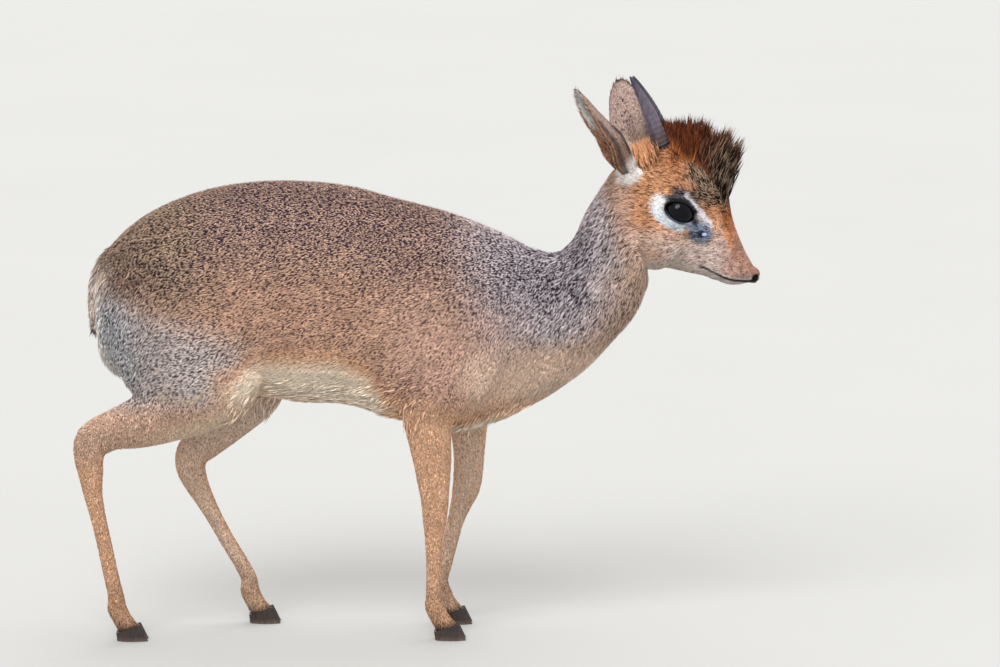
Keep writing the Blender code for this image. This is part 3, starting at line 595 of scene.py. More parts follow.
def body_pieces():
    pieces = [outline_form("trunk", TRUNK), outline_form("neck_form", NECK)]
    pieces.append(limb_form("thigh", HIND_RIGHT_THIGH, RIGHT))
    pieces.append(limb_form("thigh", HIND_LEFT_THIGH, LEFT))
    for limb, side in LIMBS.values():
        pieces.append(limb_form("limb", foot_stations(limb), side))
    return pieces


def mouth_cutter(surface):
    """Ribbon along the line of the mouth, from one corner round the front to the other."""
    path = []
    for x, z in MOUTH_LINE:
        hit = surface.ray_cast(Vector((x, 60, z)) * MM, Vector((0, -1, 0)))[0]
        path.append(Vector((x, hit.y / MM, z)))
    front = Vector((MOUTH_FRONT_X, 0, MOUTH_LINE[-1][1]))
    half = path + [front]
    points = half + [mirrored(p, -1) for p in reversed(path)]
    rings = []
    up = Vector((0, 0, MOUTH_GROOVE / 2))
    for i, point in enumerate(points):
        along = points[min(i + 1, len(points) - 1)] - points[max(i - 1, 0)]
        out = Vector((along.y, -along.x, 0)).normalized() * -1
        if out.dot(Vector((point.x - 262, point.y, 0))) < 0:
            out = -out
        inner, outer = point - out * MOUTH_DEPTH, point + out * 4
        rings.append([inner - up, outer - up, outer + up, inner + up])
    return loft("mouth", rings)


def ear_root(side):
    """Solid stub on the head that carries the ear and floors its cup."""
    base, _, across, facing, along = ear_axes(side)
    radius = EAR_LEAF[0][1] / math.radians(EAR_LEAF[0][2])
    rings = []
    for depth, wide in EAR_ROOT:
        ring = []
        for angle in angles(18):
            spoke = across * math.cos(angle) + facing * math.sin(angle)
            ring.append(base + along * depth + spoke * radius * wide)
        rings.append(ring)
    return loft("ear_root", rings)


def offset():
    """Where the design's origin lies in the frame, in metres, from the right fore hoof."""
    low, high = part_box("hoof_fore_right")
    x = low.x - (FORE_RIGHT[-1][0] + CLAW_CENTRE_X - CLAW_LENGTH / 2) * MM
    y = (low.y + high.y) / 2 + FORE_RIGHT[-1][1] * MM
    return Vector((x, y, 0.0))


OFFSET = offset()
ORIGIN = np.array(OFFSET)


def design(p):
    """Design points, in millimetres, of points in the frame."""
    return (p - ORIGIN) / MM


def in_frame(q):
    """Points in the frame, in metres, of design points."""
    return q * MM + ORIGIN


def srgb(*colour):
    """Linear colour from display values."""
    return np.array(colour, float) ** 2.2


def blend(low, high, weight):
    """Display colours blended by a weight at each point."""
    low, high = srgb(*low), srgb(*high)
    return low + (high - low) * weight[:, None]


def ramp(v, a, b):
    """Smooth step from 0 at a to 1 at b."""
    t = np.clip((v - a) / (b - a), 0.0, 1.0)
    return t * t * (3 - 2 * t)


def unit(v):
    return v / np.maximum(np.linalg.norm(v, axis=-1, keepdims=True), 1e-9)


def along_table(rows, key_column, value_column, keys):
    """Value of one column of a table at given values of another."""
    table = smooth_rows([row[:4] for row in rows], 4)
    order = np.argsort(table[:, key_column])
    return np.interp(keys, table[order, key_column], table[order, value_column])


TURN = np.array(head_turn())
UNTURN = np.linalg.inv(TURN)
ROTATION = TURN[:3, :3]
HEAD_PLACE = Matrix.Translation(OFFSET) @ scaled(head_turn())


def head_space(q):
    """Design points in the straight head's own space."""
    return q @ UNTURN[:3, :3].T + UNTURN[:3, 3]


def turned(h):
    """Design points of points in the straight head's own space."""
    return h @ ROTATION.T + TURN[:3, 3]


def plane_side(q, cut):
    """Distance of points in front of a cut."""
    point, normal = np.array(cut[0], float), np.array(cut[1], float)
    return (q - point) @ (normal / np.linalg.norm(normal))


# Cuts between neck and head and between trunk and neck: a point, and the way beyond it. Under
# the jaw the neck's hair ends, and the head's begins, between two heights.
HEAD_BASE = ((187, 0, 347), (72, 0, 27))
NECK_BASE = ((116, 0, 262), (128, 0, 16))
THROAT = (285, 292)
JAW_HEIGHT = 288


def head_weight(q, h, start, end):
    """Weight of the head at design points, rising between two distances from its cut."""
    return ramp(plane_side(q, HEAD_BASE), start, end) * ramp(h[:, 2], *THROAT)


def neck_weight(q, start, end):
    return ramp(plane_side(q, NECK_BASE), start, end)


def on_head(q, h):
    return (plane_side(q, HEAD_BASE) > 0) & (h[:, 2] > JAW_HEIGHT)


def nearest(h, point):
    """Distance to the nearer one of a point of the head and its mirror image."""
    pair = np.array([mirrored(point, side) for side in BOTH])
    return np.linalg.norm(h[:, None] - pair, axis=2).min(1)


def eye_place(side):
    """Axes and centre of an eye in the straight head's own space."""
    return np.array(eye_axes(side)), np.array(mirrored(EYE_CENTRE, side))


def mouth_height(x):
    """Height of the line of the mouth at places along the head."""
    return np.interp(x, [p[0] for p in MOUTH_LINE], [p[1] for p in MOUTH_LINE])


def eye_share(h):
    """Place round the nearer eye: share along the lids, across them, and the oval distance."""
    side = np.where(h[:, 1] < 0, RIGHT, LEFT)
    u, v = np.zeros(len(h)), np.zeros(len(h))
    for s in BOTH:
        axes, centre = eye_place(s)
        local = (h - centre) @ axes
        pick = side == s
        u[pick], v[pick] = local[pick, 0], local[pick, 1]
    return u, v, np.hypot(u / LID_OPENING[0], v / LID_OPENING[1])


def crown_share(h):
    """Weight of the speckled forehead in front of the crest."""
    x, y, z = h.T
    return ramp(z, 352, 372) * ramp(x - 0.25 * (z - 380), 228, 252) * ramp(np.abs(y), 27, 17)


def stripe(h, a, b, half):
    """Weight of a stripe between two places (x, z) on each side of the head, by its half width."""
    p, a, b = h[:, [0, 2]], np.array(a, float), np.array(b, float)
    t = np.clip(((p - a) @ (b - a)) / ((b - a) @ (b - a)), 0, 1)
    weight = ramp(np.linalg.norm(p - a - t[:, None] * (b - a), axis=1), half * 1.5, half * 0.6)
    return weight * ramp(np.abs(h[:, 1]), 8, 12)


class Paint:
    """Pale and dark hair colours, and the share of dark tips, painted zone over zone."""

    def __init__(self, count, pale=(0, 0, 0), dark=(0, 0, 0), tick=0.0):
        self.pale = np.tile(srgb(*pale), (count, 1))
        self.dark = np.tile(srgb(*dark), (count, 1))
        self.tick = np.full(count, float(tick))

    def zone(self, weight, pale, dark, tick):
        w = np.clip(weight, 0, 1)
        self.pale += (srgb(*pale) - self.pale) * w[:, None]
        self.dark += (srgb(*dark) - self.dark) * w[:, None]
        self.tick += (tick - self.tick) * w

    def mean(self, share):
        """Colour of the coat as a whole, its dark tips counted by a share of their number."""
        return self.pale + (self.dark - self.pale) * (self.tick * share)[:, None]


def markings(q, n):
    """Hair colours at design points with outward normals."""
    x, y, z = q.T
    wide = np.abs(y)
    side = np.sign(y)
    top = along_table(TRUNK, TOP_X, TOP_Z, x)
    low = along_table(TRUNK, LOW_X, LOW_Z, x)
    height = (z - low) / (top - low)

    # Flank, shoulder and back.
    c = Paint(len(q), (0.86, 0.69, 0.58), (0.40, 0.30, 0.31), 0.38)
    c.zone(ramp(x, -30, 25) * ramp(height, 0.1, 0.3), (0.92, 0.75, 0.67), (0.50, 0.38, 0.34), 0.30)
    c.zone(ramp(height, 0.42, 0.86), (0.81, 0.67, 0.58), (0.25, 0.19, 0.26), 0.60)
    c.zone(ramp(height, 0.84, 1.0) * 0.7, (0.73, 0.60, 0.53), (0.21, 0.16, 0.22), 0.64)

    # Grey rump and thighs below a slanting line.
    line = 288 - 0.34 * (x + 248)
    rump = ramp(x, -80, -160) * ramp(z, line + 26, line - 16) * ramp(z, 184, 214)
    c.zone(rump, (0.92, 0.86, 0.84), (0.36, 0.32, 0.33), 0.46)
    c.zone(rump * ramp(x, -195, -245), (0.93, 0.93, 0.95), (0.26, 0.26, 0.30), 0.52)
    over_rump = ramp(x, -130, -195) * ramp(z, line, line + 40)
    c.zone(over_rump, (0.79, 0.67, 0.57), (0.22, 0.17, 0.18), 0.58)

    # Grey neck with its darker mane, its fawn front and the chest.
    front = along_table(NECK, LOW_Z, LOW_X, z) - x
    grey = ramp(x + 0.28 * (z - 348), 18, 104)
    c.zone(grey, (0.92, 0.86, 0.87), (0.35, 0.31, 0.34), 0.45)
    mane = 0.85 * grey * ramp(z, 262, 296) * ramp(front, 36, 64) * ramp(z, 362, 312)
    c.zone(mane, (0.80, 0.76, 0.79), (0.20, 0.17, 0.21), 0.62)
    c.zone(grey * ramp(front, 54, 8), (0.90, 0.77, 0.69), (0.40, 0.31, 0.27), 0.40)
    # Darker brown low on the front of the neck: partly its own colour, partly painted shade of the
    # fold above the chest.
    c.zone(ramp(x, 84, 108) * ramp(z, 262, 236), (0.80, 0.68, 0.60), (0.34, 0.26, 0.22), 0.44)
    c.zone(ramp(x, 40, 70) * ramp(z, 262, 228), (0.99, 0.86, 0.77), (0.66, 0.53, 0.46), 0.13)

    # Pale belly with a fawn rim.
    edge = np.interp(x, (-135, -118, -50, -23, -8, 30), (222, 238, 238, 225, 203, 172))
    belly = ramp(x, -150, -128) * ramp(x, 30, 0) * ramp(z, edge + 10, edge - 13)
    rim = ramp(x, -165, -135) * ramp(x, 36, 5) * ramp(z, edge + 20, edge + 2)
    c.zone(rim * 0.8, (0.93, 0.72, 0.57), (0.58, 0.42, 0.33), 0.25)
    c.zone(belly, (1.0, 0.93, 0.84), (0.93, 0.80, 0.68), 0.06)

    # Legs, paler behind and within, darker at the hooves.
    inner = ramp(z, 225, 205) * ramp(wide, 30, 18)
    c.zone(inner, (0.94, 0.84, 0.76), (0.66, 0.55, 0.46), 0.12)
    fore = ramp(x, -14, 0) * ramp(z, 216, 184)
    hind = ramp(x, -60, -75) * ramp(z, 214, 186)
    c.zone(fore, (0.98, 0.78, 0.64), (0.65, 0.47, 0.36), 0.17)
    c.zone(hind, (0.93, 0.77, 0.67), (0.51, 0.40, 0.35), 0.25)
    under = ramp(-n[:, 2], 0.1, 0.55) * ramp(x, -214, -186) * ramp(x, -98, -118) * ramp(z, 156, 172)
    c.zone(under * ramp(z, 228, 206), (0.98, 0.87, 0.76), (0.70, 0.57, 0.47), 0.12)
    shin = ramp(z, 168, 140)
    c.zone(hind * shin, (0.97, 0.77, 0.63), (0.62, 0.45, 0.34), 0.17)
    inside = np.clip(-n[:, 1] * side, 0, 1) * ramp(z, 215, 190)
    c.zone(inside * 0.7, (0.96, 0.86, 0.78), (0.66, 0.54, 0.44), 0.10)
    c.zone(ramp(z, 60, 30) * 0.6, (0.76, 0.60, 0.48), (0.40, 0.29, 0.22), 0.30)
    c.zone(ramp(z, 19, 13) * 0.7, (0.40, 0.32, 0.26), (0.18, 0.13, 0.10), 0.4)
    apron = ramp(z, 198, 182) * ramp(wide, 26, 14) * ramp(x, 30, 50) * ramp(x, 110, 90)
    c.zone(apron, (0.92, 0.87, 0.80), (0.60, 0.53, 0.46), 0.1)

    # Pale seat and the tail over it.
    seat = ramp(x, -222, -246) * ramp(z, 322, 292) * ramp(z, 203, 232)
    c.zone(seat * ramp(wide, 44, 12), (0.93, 0.89, 0.84), (0.60, 0.54, 0.50), 0.14)
    tail = ramp(x, -246, -250) * ramp(wide, 11, 8) * ramp(z, 252, 262) * ramp(z, 326, 316)
    c.zone(tail, (0.84, 0.77, 0.73), (0.44, 0.38, 0.36), 0.35)
    face(c, q, n)
    return c


def face(c, q, n):
    """Paints the head over the neck."""
    h = head_space(q)
    nh = n @ ROTATION
    x, y, z = h.T
    wide = np.abs(y)
    head = head_weight(q, h, -15, 13)
    u, v, ring = eye_share(h)

    def paint(weight, pale, dark, tick):
        c.zone(head * weight, pale, dark, tick)

    paint(1.0, (0.88, 0.65, 0.49), (0.47, 0.31, 0.21), 0.40)
    paint(ramp(x, 205, 190) * 0.7, (0.86, 0.73, 0.67), (0.44, 0.34, 0.31), 0.38)
    paint(ramp(z, 352, 326), (0.93, 0.84, 0.80), (0.50, 0.39, 0.35), 0.34)
    paint(ramp(z, 352, 326) * ramp(x, 235, 215), (0.92, 0.78, 0.70), (0.55, 0.41, 0.34), 0.34)
    paint(ramp(-nh[:, 2], 0.35, 0.75) * ramp(z, 335, 318), (0.87, 0.81, 0.76), (0.56, 0.49, 0.44), 0.2)

    # Bridge of the nose, muzzle and crown.
    bridge = ramp(x, 243, 256) * ramp(wide, 14, 9) * ramp(nh[:, 0] + nh[:, 2], 0.25, 0.7)
    paint(bridge, (0.91, 0.59, 0.38), (0.36, 0.20, 0.13), 0.34)
    paint(bridge * ramp(z, 336, 356), (0.70, 0.44, 0.29), (0.13, 0.08, 0.06), 0.46)
    muzzle = ramp(x, 262, 276) * (1 - bridge * ramp(x, 285, 273))
    paint(muzzle, (0.76, 0.62, 0.57), (0.42, 0.31, 0.28), 0.32)
    paint(ramp(x, 272, 283) * bridge * 0.7, (0.73, 0.55, 0.47), (0.38, 0.27, 0.23), 0.32)
    rufous = ramp(z, 378, 400) * ramp(x, 206, 222) * ramp(wide, 24, 12)
    paint(rufous, (0.74, 0.44, 0.26), (0.28, 0.14, 0.08), 0.50)
    speckled = ramp(z, 348, 372) * ramp(x - 0.25 * (z - 380), 214, 238) * ramp(wide, 28, 18)
    paint(speckled * 0.85, (0.78, 0.50, 0.33), (0.14, 0.09, 0.07), 0.46)
    paint(crown_share(h), (0.72, 0.60, 0.50), (0.08, 0.06, 0.055), 0.62)
    crest_foot = ramp(z, 396, 404) * ramp(wide, 16, 10) * ramp(x, 212, 220)
    paint(crest_foot, (0.42, 0.23, 0.13), (0.16, 0.08, 0.05), 0.6)

    # Round the eye, and the gland before it.
    over_eye = ramp(ring, 2.6, 1.8) * ramp(v, 3, 9) * ramp(np.abs(u + 1), 14, 7)
    paint(over_eye, (0.44, 0.41, 0.43), (0.14, 0.13, 0.14), 0.6)
    pale_ring = ramp(ring, 2.05, 1.62)
    paint(pale_ring * ramp(-u, 2, 8) * ramp(v, 10, 4), (0.99, 0.98, 0.98), (0.70, 0.68, 0.67), 0.05)
    paint(pale_ring * ramp(-v, 3, 8) * ramp(u, 14, 6), (0.94, 0.97, 1.0), (0.58, 0.62, 0.70), 0.22)
    paint(stripe(h, (243, 371), (259, 347), 3.4), (0.91, 0.89, 0.91), (0.46, 0.42, 0.44), 0.28)
    lid = ramp(ring, 1.62, 1.36)
    paint(lid * ramp(v + 0.2 * u, -1, 4) * ramp(u, 8, 2), (0.42, 0.41, 0.43), (0.12, 0.12, 0.13), 0.5)
    paint(ramp(ring, 1.20, 1.08), (0.12, 0.10, 0.10), (0.04, 0.03, 0.03), 0.4)
    paint(stripe(h, (245, 350), (252, 341), 5.5), (0.58, 0.61, 0.67), (0.20, 0.22, 0.27), 0.42)
    paint(stripe(h, (244, 354), (254, 341), 2.2), (0.24, 0.24, 0.28), (0.06, 0.06, 0.08), 0.5)
    gx, gz = GLAND_PIT[0] - 1.0, GLAND_PIT[2] + 0.5
    gland = np.hypot(x - gx, z - gz) + 20 * ramp(wide, 11, 7)
    paint(ramp(gland, 11.5, 6.5) * 0.9, (0.54, 0.58, 0.66), (0.16, 0.18, 0.23), 0.44)
    paint(ramp(gland, 4.4, 2.8), (0.26, 0.31, 0.40), (0.06, 0.06, 0.09), 0.4)

    # Mouth, nostrils, and the feet of ears and horns.
    mouth = mouth_height(x)
    lips = ramp(x, 246, 256) * ramp(z, mouth + 4, mouth + 1.5)
    paint(lips, (0.86, 0.80, 0.77), (0.55, 0.49, 0.46), 0.20)
    lip_line = ramp(x, 250, 254) * ramp(np.abs(z - mouth), 1.7, 0.8) * 0.9
    paint(lip_line, (0.14, 0.10, 0.10), (0.05, 0.04, 0.04), 0.3)
    paint(ramp(nearest(h, NOSTRIL), 4.2, 3.1), (0.10, 0.08, 0.08), (0.04, 0.03, 0.03), 0.4)
    ear = ramp(nearest(h, EAR_BASE), 19.5, 14) * ramp(z, 404, 395)
    paint(ear, (1.0, 0.97, 0.95), (0.70, 0.65, 0.63), 0.12)
    paint(ramp(nearest(h, HORN_BASE), 9.5, 7.5), (0.36, 0.29, 0.28), (0.14, 0.10, 0.10), 0.5)


def coat_depth(q):
    """Depth of the lying hair under the solids' outline, in millimetres."""
    h = head_space(q)
    head = head_weight(q, h, -14, 10)
    ring = eye_share(h)[2]
    depth = 2.1 - 1.0 * ramp(q[:, 2], 225, 165)
    depth = depth + (1.3 - depth) * head
    small = head * np.maximum(ramp(h[:, 0], 246, 272), ramp(ring, 2.2, 1.4))
    return depth + (0.7 - depth) * small


def surface_of(obj):
    """Surface of an object, for rays."""
    bm = bmesh.new()
    bm.from_mesh(obj.data)
    surface = BVHTree.FromBMesh(bm)
    bm.free()
    return surface


def make_skin():
    """One skin for torso, neck, head, legs and tail, sunk below their outline by the coat's depth."""
    pieces = body_pieces() + head_pieces() + [limb_form("tail", TAIL, LEFT, 2, 16)]
    turn = head_turn()
    for side in BOTH:
        for root in (pedicle(side), ear_root(side)):
            root.data.transform(scaled(turn))
            pieces.append(root)
    skin = melted("skin", pieces, VOXEL, 7)
    co = points_of(skin)
    normals = vertex_normals(skin)
    q = co / MM
    co -= normals * (coat_depth(q) * MM)[:, None]
    skin.data.vertices.foreach_set("co", co.ravel())
    skin.data.transform(scaled(turn.inverted()))
    cutters = [mouth_cutter(surface_of(skin))]
    for side in BOTH:
        cutters.append(blob("socket", mirrored(EYE_CENTRE, side), (EYE_RADIUS + GAP,) * 3, level=4))
        cutters.append(lid_opening(side))
        cutters.append(blob("nostril", mirrored(NOSTRIL, side), NOSTRIL_SIZE))
        cutters.append(blob("gland", mirrored(GLAND_PIT, side), GLAND_PIT_SIZE))
    for cutter in cutters:
        cutter.data.transform(scaled(turn))
    skin.data.transform(scaled(turn))
    cutters += [foot_cutter(limb, side) for limb, side in LIMBS.values()]
    boolean(skin, cutters, "DIFFERENCE")
    skin.data.transform(Matrix.Translation(OFFSET))
    skin.data.shade_smooth()
    return skin


def read(items, name, kind, shape=(-1, 3)):
    """Array of one value of a mesh's points, corners or triangles."""
    size = np.size(getattr(items[0], name))
    values = np.empty(len(items) * size, kind)
    items.foreach_get(name, values)
    return values.reshape(shape)


def points_of(obj):
    return read(obj.data.vertices, "co", np.float32).astype(float)


def vertex_normals(obj):
    return read(obj.data.vertices, "normal", np.float32).astype(float)


def triangles_of(obj):
    obj.data.calc_loop_triangles()
    return read(obj.data.loop_triangles, "vertices", np.int32)


def layer(mesh, name, kind, values):
    """Colours, vectors or plain values painted on the points of a mesh."""
    data = mesh.attributes.new(name, kind, "POINT").data
    key = {"FLOAT_COLOR": "color", "FLOAT_VECTOR": "vector", "FLOAT": "value"}[kind]
    data.foreach_set(key, values.astype(np.float32).ravel())


def colour_layer(mesh, name, colours):
    rgba = np.ones((len(colours), 4))
    rgba[:, :3] = colours
    layer(mesh, name, "FLOAT_COLOR", rgba)


def mesh_of(name, verts, faces):
    """Mesh from arrays of points and of triangles."""
    mesh = bpy.data.meshes.new(name)
    mesh.vertices.add(len(verts))
    mesh.vertices.foreach_set("co", verts.astype(np.float32).ravel())
    mesh.loops.add(faces.size)
    mesh.loops.foreach_set("vertex_index", faces.astype(np.int32).ravel())
    mesh.polygons.add(len(faces))
    mesh.polygons.foreach_set("loop_start", np.arange(0, faces.size, faces.shape[1], dtype=np.int32))
    mesh.update(calc_edges=True)
    return mesh


def add_object(name, mesh, material, slot, *stands_for):
    """Shown piece that rides on the model's one body."""
    return finish_piece(linked(name, mesh), material, slot, *stands_for)


def finish_piece(obj, material, slot, *stands_for):
    obj.data.materials.clear()
    obj.data.materials.append(material)
    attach(obj, "root")
    if stands_for:
        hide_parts(*stands_for)
    return obj


def lie(q, n):
    """Direction in which the hair lies, along the skin."""
    x, y, z = q.T
    count = len(q)
    d = np.zeros((count, 3))
    d[:] = (-1.0, 0.0, 0.0)
    flank = ramp(np.abs(n[:, 1]), 0.2, 0.9)
    d[:, 2] = -0.35 * flank
    shoulder = ramp(x, 0, 60) * ramp(z, 330, 250)
    d += (np.array((-0.45, 0.0, -0.9)) - d) * (shoulder * 0.8)[:, None]
    rump = ramp(x, -165, -235)
    d += (np.array((-0.35, 0.0, -1.0)) - d) * (rump * 0.9)[:, None]
    neck = neck_weight(q, -25, 15)
    d += (np.array((-0.62, 0.0, -0.85)) - d) * neck[:, None]
    leg = ramp(z, 222, 185) * (1 - neck)
    underside = ramp(-n[:, 2], 0.5, 0.8) * ramp(z, 150, 190)
    leg = leg * (1 - underside)
    d += (np.array((-0.05, 0.0, -1.0)) - d) * leg[:, None]
    h = head_space(q)
    head = head_weight(q, h, -10, 10)
    to = np.zeros((count, 3))
    to[:] = (-1.0, 0.0, 0.10)
    to[:, 2] += -0.55 * ramp(h[:, 2], 345, 315) * ramp(h[:, 0], 260, 230)
    to[:, 2] += 0.9 * ramp(h[:, 2], 368, 385) * ramp(h[:, 0], 225, 245)
    d += (to - d) * head[:, None]
    d -= n * np.sum(d * n, axis=1, keepdims=True)
    return unit(d)


# Shares of a bent hair's length at which it has a ring of points.
BENT = (0.0, 0.5)
# Numbers of tufts, and of hairs in a lock of the crest, in a quick build and in a full one.
SHORT_TUFTS = (60000, 300000)
LONG_TUFTS = (1500, 5000)
EAR_BASE_TUFTS = (300, 1500)
EAR_TUFTS = (2600, 9000)
LOCK_HAIRS = (8, 26)


def amount(counts):
    return counts[1]


def scatter(skin, count, weight, rng):
    """Random roots on the skin: points, normals, in design millimetres and in the frame."""
    co, normals, tris = points_of(skin), vertex_normals(skin), triangles_of(skin)
    a, b, c = (co[tris[:, k]] for k in range(3))
    area = np.linalg.norm(np.cross(b - a, c - a), axis=1) / 2
    middle = design((a + b + c) / 3)
    share = area * weight(middle)
    pick = rng.choice(len(tris), size=count, p=share / share.sum())
    r1, r2 = np.sqrt(rng.random(count)), rng.random(count)
    mix = np.stack([1 - r1, r1 * (1 - r2), r1 * r2], axis=1)
    p = sum(mix[:, k : k + 1] * co[tris[pick, k]] for k in range(3))
    n = unit(sum(mix[:, k : k + 1] * normals[tris[pick, k]] for k in range(3)))
    return p, n, tris[pick], mix


def tuft_rows(p, n, d, length, width, thick, lift, bend, sway, steps):
    """Points of solid tapered tufts: three-sided rings from the sunk root on, then the tip."""
    count = len(p)
    side = np.cross(n, d)
    rows = []
    for k, share in enumerate(steps):
        height = length * (lift * share - bend * share**2)
        centre = p + d * (length * share)[:, None] + n * height[:, None]
        centre = centre + side * (sway * length * share**2)[:, None]
        if k == 0:
            centre = p - n * (0.35 * thick)[:, None]
        swell = 1.0 if k == 0 else 1.12 - 0.75 * share**2
        half = side * (width * swell / 2)[:, None]
        up = n * (thick * swell)[:, None]
        rows += [centre - half, centre + half, centre + up]
    tip = p + d * length[:, None] + n * (length * (lift - bend))[:, None]
    rows.append(tip + side * (sway * length)[:, None])
    verts = np.stack(rows, axis=1)
    faces = [(0, 2, 1)]
    for k in range(len(steps) - 1):
        i = 3 * k
        for a, b in ((0, 1), (1, 2), (2, 0)):
            faces += [(i + a, i + b, i + 3 + b), (i + a, i + 3 + b, i + 3 + a)]
    i = 3 * (len(steps) - 1)
    faces += [(i, i + 1, i + 3), (i + 1, i + 2, i + 3), (i + 2, i, i + 3)]
    faces = np.array(faces)
    all_faces = (faces[None] + (np.arange(count) * verts.shape[1])[:, None, None]).reshape(-1, 3)
    return verts.reshape(-1, 3), all_faces, verts.shape[1]


def unwrap(q):
    """Chart coordinates on the skin's own shape: along each part and round it."""
    x, y, z = q.T
    middle = (along_table(TRUNK, TOP_X, TOP_Z, x) + along_table(TRUNK, LOW_X, LOW_Z, x)) / 2
    u = (x + 260) / 390
    v = np.arctan2(y, z - middle) / (2 * math.pi) + 0.5
    neck = plane_side(q, NECK_BASE) > 0
    axis = np.array((0.62, 0.0, 0.78))
    reach = (q - np.array((108, 0, 255))) @ axis
    across = (q - np.array((108, 0, 255))) @ np.array((-0.78, 0.0, 0.62))
    u = np.where(neck, (reach + 40) / 190, u)
    v = np.where(neck, np.arctan2(y, across) / (2 * math.pi) + 0.5, v)
    h = head_space(q)
    head = on_head(q, h)
    u = np.where(head, (h[:, 0] - 160) / 145, u)
    crown = np.interp(h[:, 0], (170, 220, 260, 298), (350, 355, 342, 303))
    v = np.where(head, np.arctan2(h[:, 1], h[:, 2] - crown) / (2 * math.pi) + 0.5, v)
    for limb, side in LIMBS.values():
        rows = smooth_rows(foot_stations(limb), 3)
        order = np.argsort(rows[:, 2])
        lx = np.interp(z, rows[order, 2], rows[order, 0])
        ly = side * np.interp(z, rows[order, 2], rows[order, 1])
        on = (z < 195) & (np.sign(y) == side) & (np.abs(x - lx) < 45) & ~neck
        u = np.where(on, z / 200, u)
        v = np.where(on, np.arctan2(y - ly, x - lx) / (2 * math.pi) + 0.5, v)
    return np.stack([np.clip(u, 0.01, 0.99), np.clip(v, 0.01, 0.99)], axis=1)


PATCH = 0.003


def patch_map(mesh, roots, per):
    """Each tuft is one small patch at its root's place on the unwrap."""
    uv = np.repeat(unwrap(roots), per, axis=0)
    angle = np.arange(per) * 2.4
    reach = np.linspace(0.25, 0.5, per)
    spread = np.stack([np.cos(angle), np.sin(angle)], axis=1) * reach[:, None]
    uv = uv + np.tile(spread, (len(roots), 1)) * PATCH
    loops = read(mesh.loops, "vertex_index", np.int32, -1)
    chart = mesh.uv_layers.new(name="OFBake")
    chart.uv.foreach_set("vector", uv[loops].astype(np.float32).ravel())


# Middle of a hair's pale band as a share of its length, and the limits of the band's half width.
BAND_MIDDLE = 0.66
BAND_NARROWEST = 0.07
BAND_WIDEST = 0.45
# Width of a clump of hairs that share a tone, the number of tones, and the mixers of its cell.
CLUMP = 2.2
TONES = 65536
MIXERS = np.array((73856093, 19349663, 83492791))


def clumps(q, size, rng):
    """Random number that hairs with roots close together share."""
    cell = np.floor((q + rng.normal(0, 0.28 * size, q.shape)) / size).astype(np.int64)
    return rng.random(TONES)[(cell @ MIXERS) % TONES]


def whole_share(q):
    """Share of hairs that are pale or dark over their whole length, more on the neck and head."""
    head = head_weight(q, head_space(q), -12, 10)
    return 0.18 + 0.28 * neck_weight(q, -20, 20) + 0.34 * head


def hair_layers(mesh, paint, per, rng, shared, whole):
    """Pale and dark colours of each tuft, darkened towards its root as painted shade, and its place
    along the pale band of ticked hair.
    """
    count = len(paint.tick)
    shade = np.exp(rng.normal(0, 0.13, count) + 0.35 * (shared - 0.5))[:, None]
    steps = np.repeat(np.linspace(0, 1, (per - 1) // 3 + 1), 3)[:per]
    middle = BAND_MIDDLE + rng.uniform(-0.13, 0.13, count) + 0.10 * (shared - 0.5)
    half = np.maximum(BAND_NARROWEST, BAND_WIDEST - 0.5 * paint.tick)
    band = (steps[None] - middle[:, None]) / half[:, None]
    plain = rng.random(count) < whole
    dark = 0.6 * rng.random(count) + 0.4 * shared < paint.tick
    band[plain] = np.where(dark[plain], 3.0, 0.0)[:, None]
    # Colours darken towards each tuft's root: painted shade among the hairs.
    shade = shade[:, None] * (0.80 + 0.20 * steps)[None, :, None]
    colour_layer(mesh, "coat", (paint.pale[:, None] * shade).reshape(-1, 3))
    colour_layer(mesh, "dark", (paint.dark[:, None] * shade).reshape(-1, 3))
    layer(mesh, "band", "FLOAT", band)


def plain_layers(mesh, colours):
    """The same layers for hair without bands."""
    colour_layer(mesh, "coat", colours)
    colour_layer(mesh, "dark", colours)
    layer(mesh, "band", "FLOAT", np.zeros(len(colours)))


def tuft_mesh(name, p, n, d, size, steps, lay):
    """Mesh of tufts with chart and lay, and its points to a tuft. Size holds length, width,
    thickness, lift, bend and sway, the first three in millimetres."""
    length, width, thick = (values * MM for values in size[:3])
    verts, faces, per = tuft_rows(p, n, d, length, width, thick, *size[3:], steps)
    mesh = mesh_of(name, verts, faces)
    layer(mesh, "lay", "FLOAT_VECTOR", np.repeat(lay, per, axis=0))
    patch_map(mesh, design(p), per)
    return mesh, per


def coat_piece(name, slot, material, p, n, size, rng, steps=(0.0,), paint=None, d=None):
    """One joined mesh of ticked tufts, lying with the coat unless a way is given."""
    q = design(p)
    d = lie(q, n) if d is None else d
    mesh, per = tuft_mesh(name, p, n, d, size, steps, n)
    hair_layers(mesh, paint or markings(q, n), per, rng, clumps(q, CLUMP, rng), whole_share(q))
    return add_object(name, mesh, material, slot)


# Looks: one node material for each kind of surface.
VECTOR_A, VECTOR_B, COLOUR_A, COLOUR_B = 4, 5, 6, 7
VECTOR_OUT, COLOUR_OUT = 1, 2


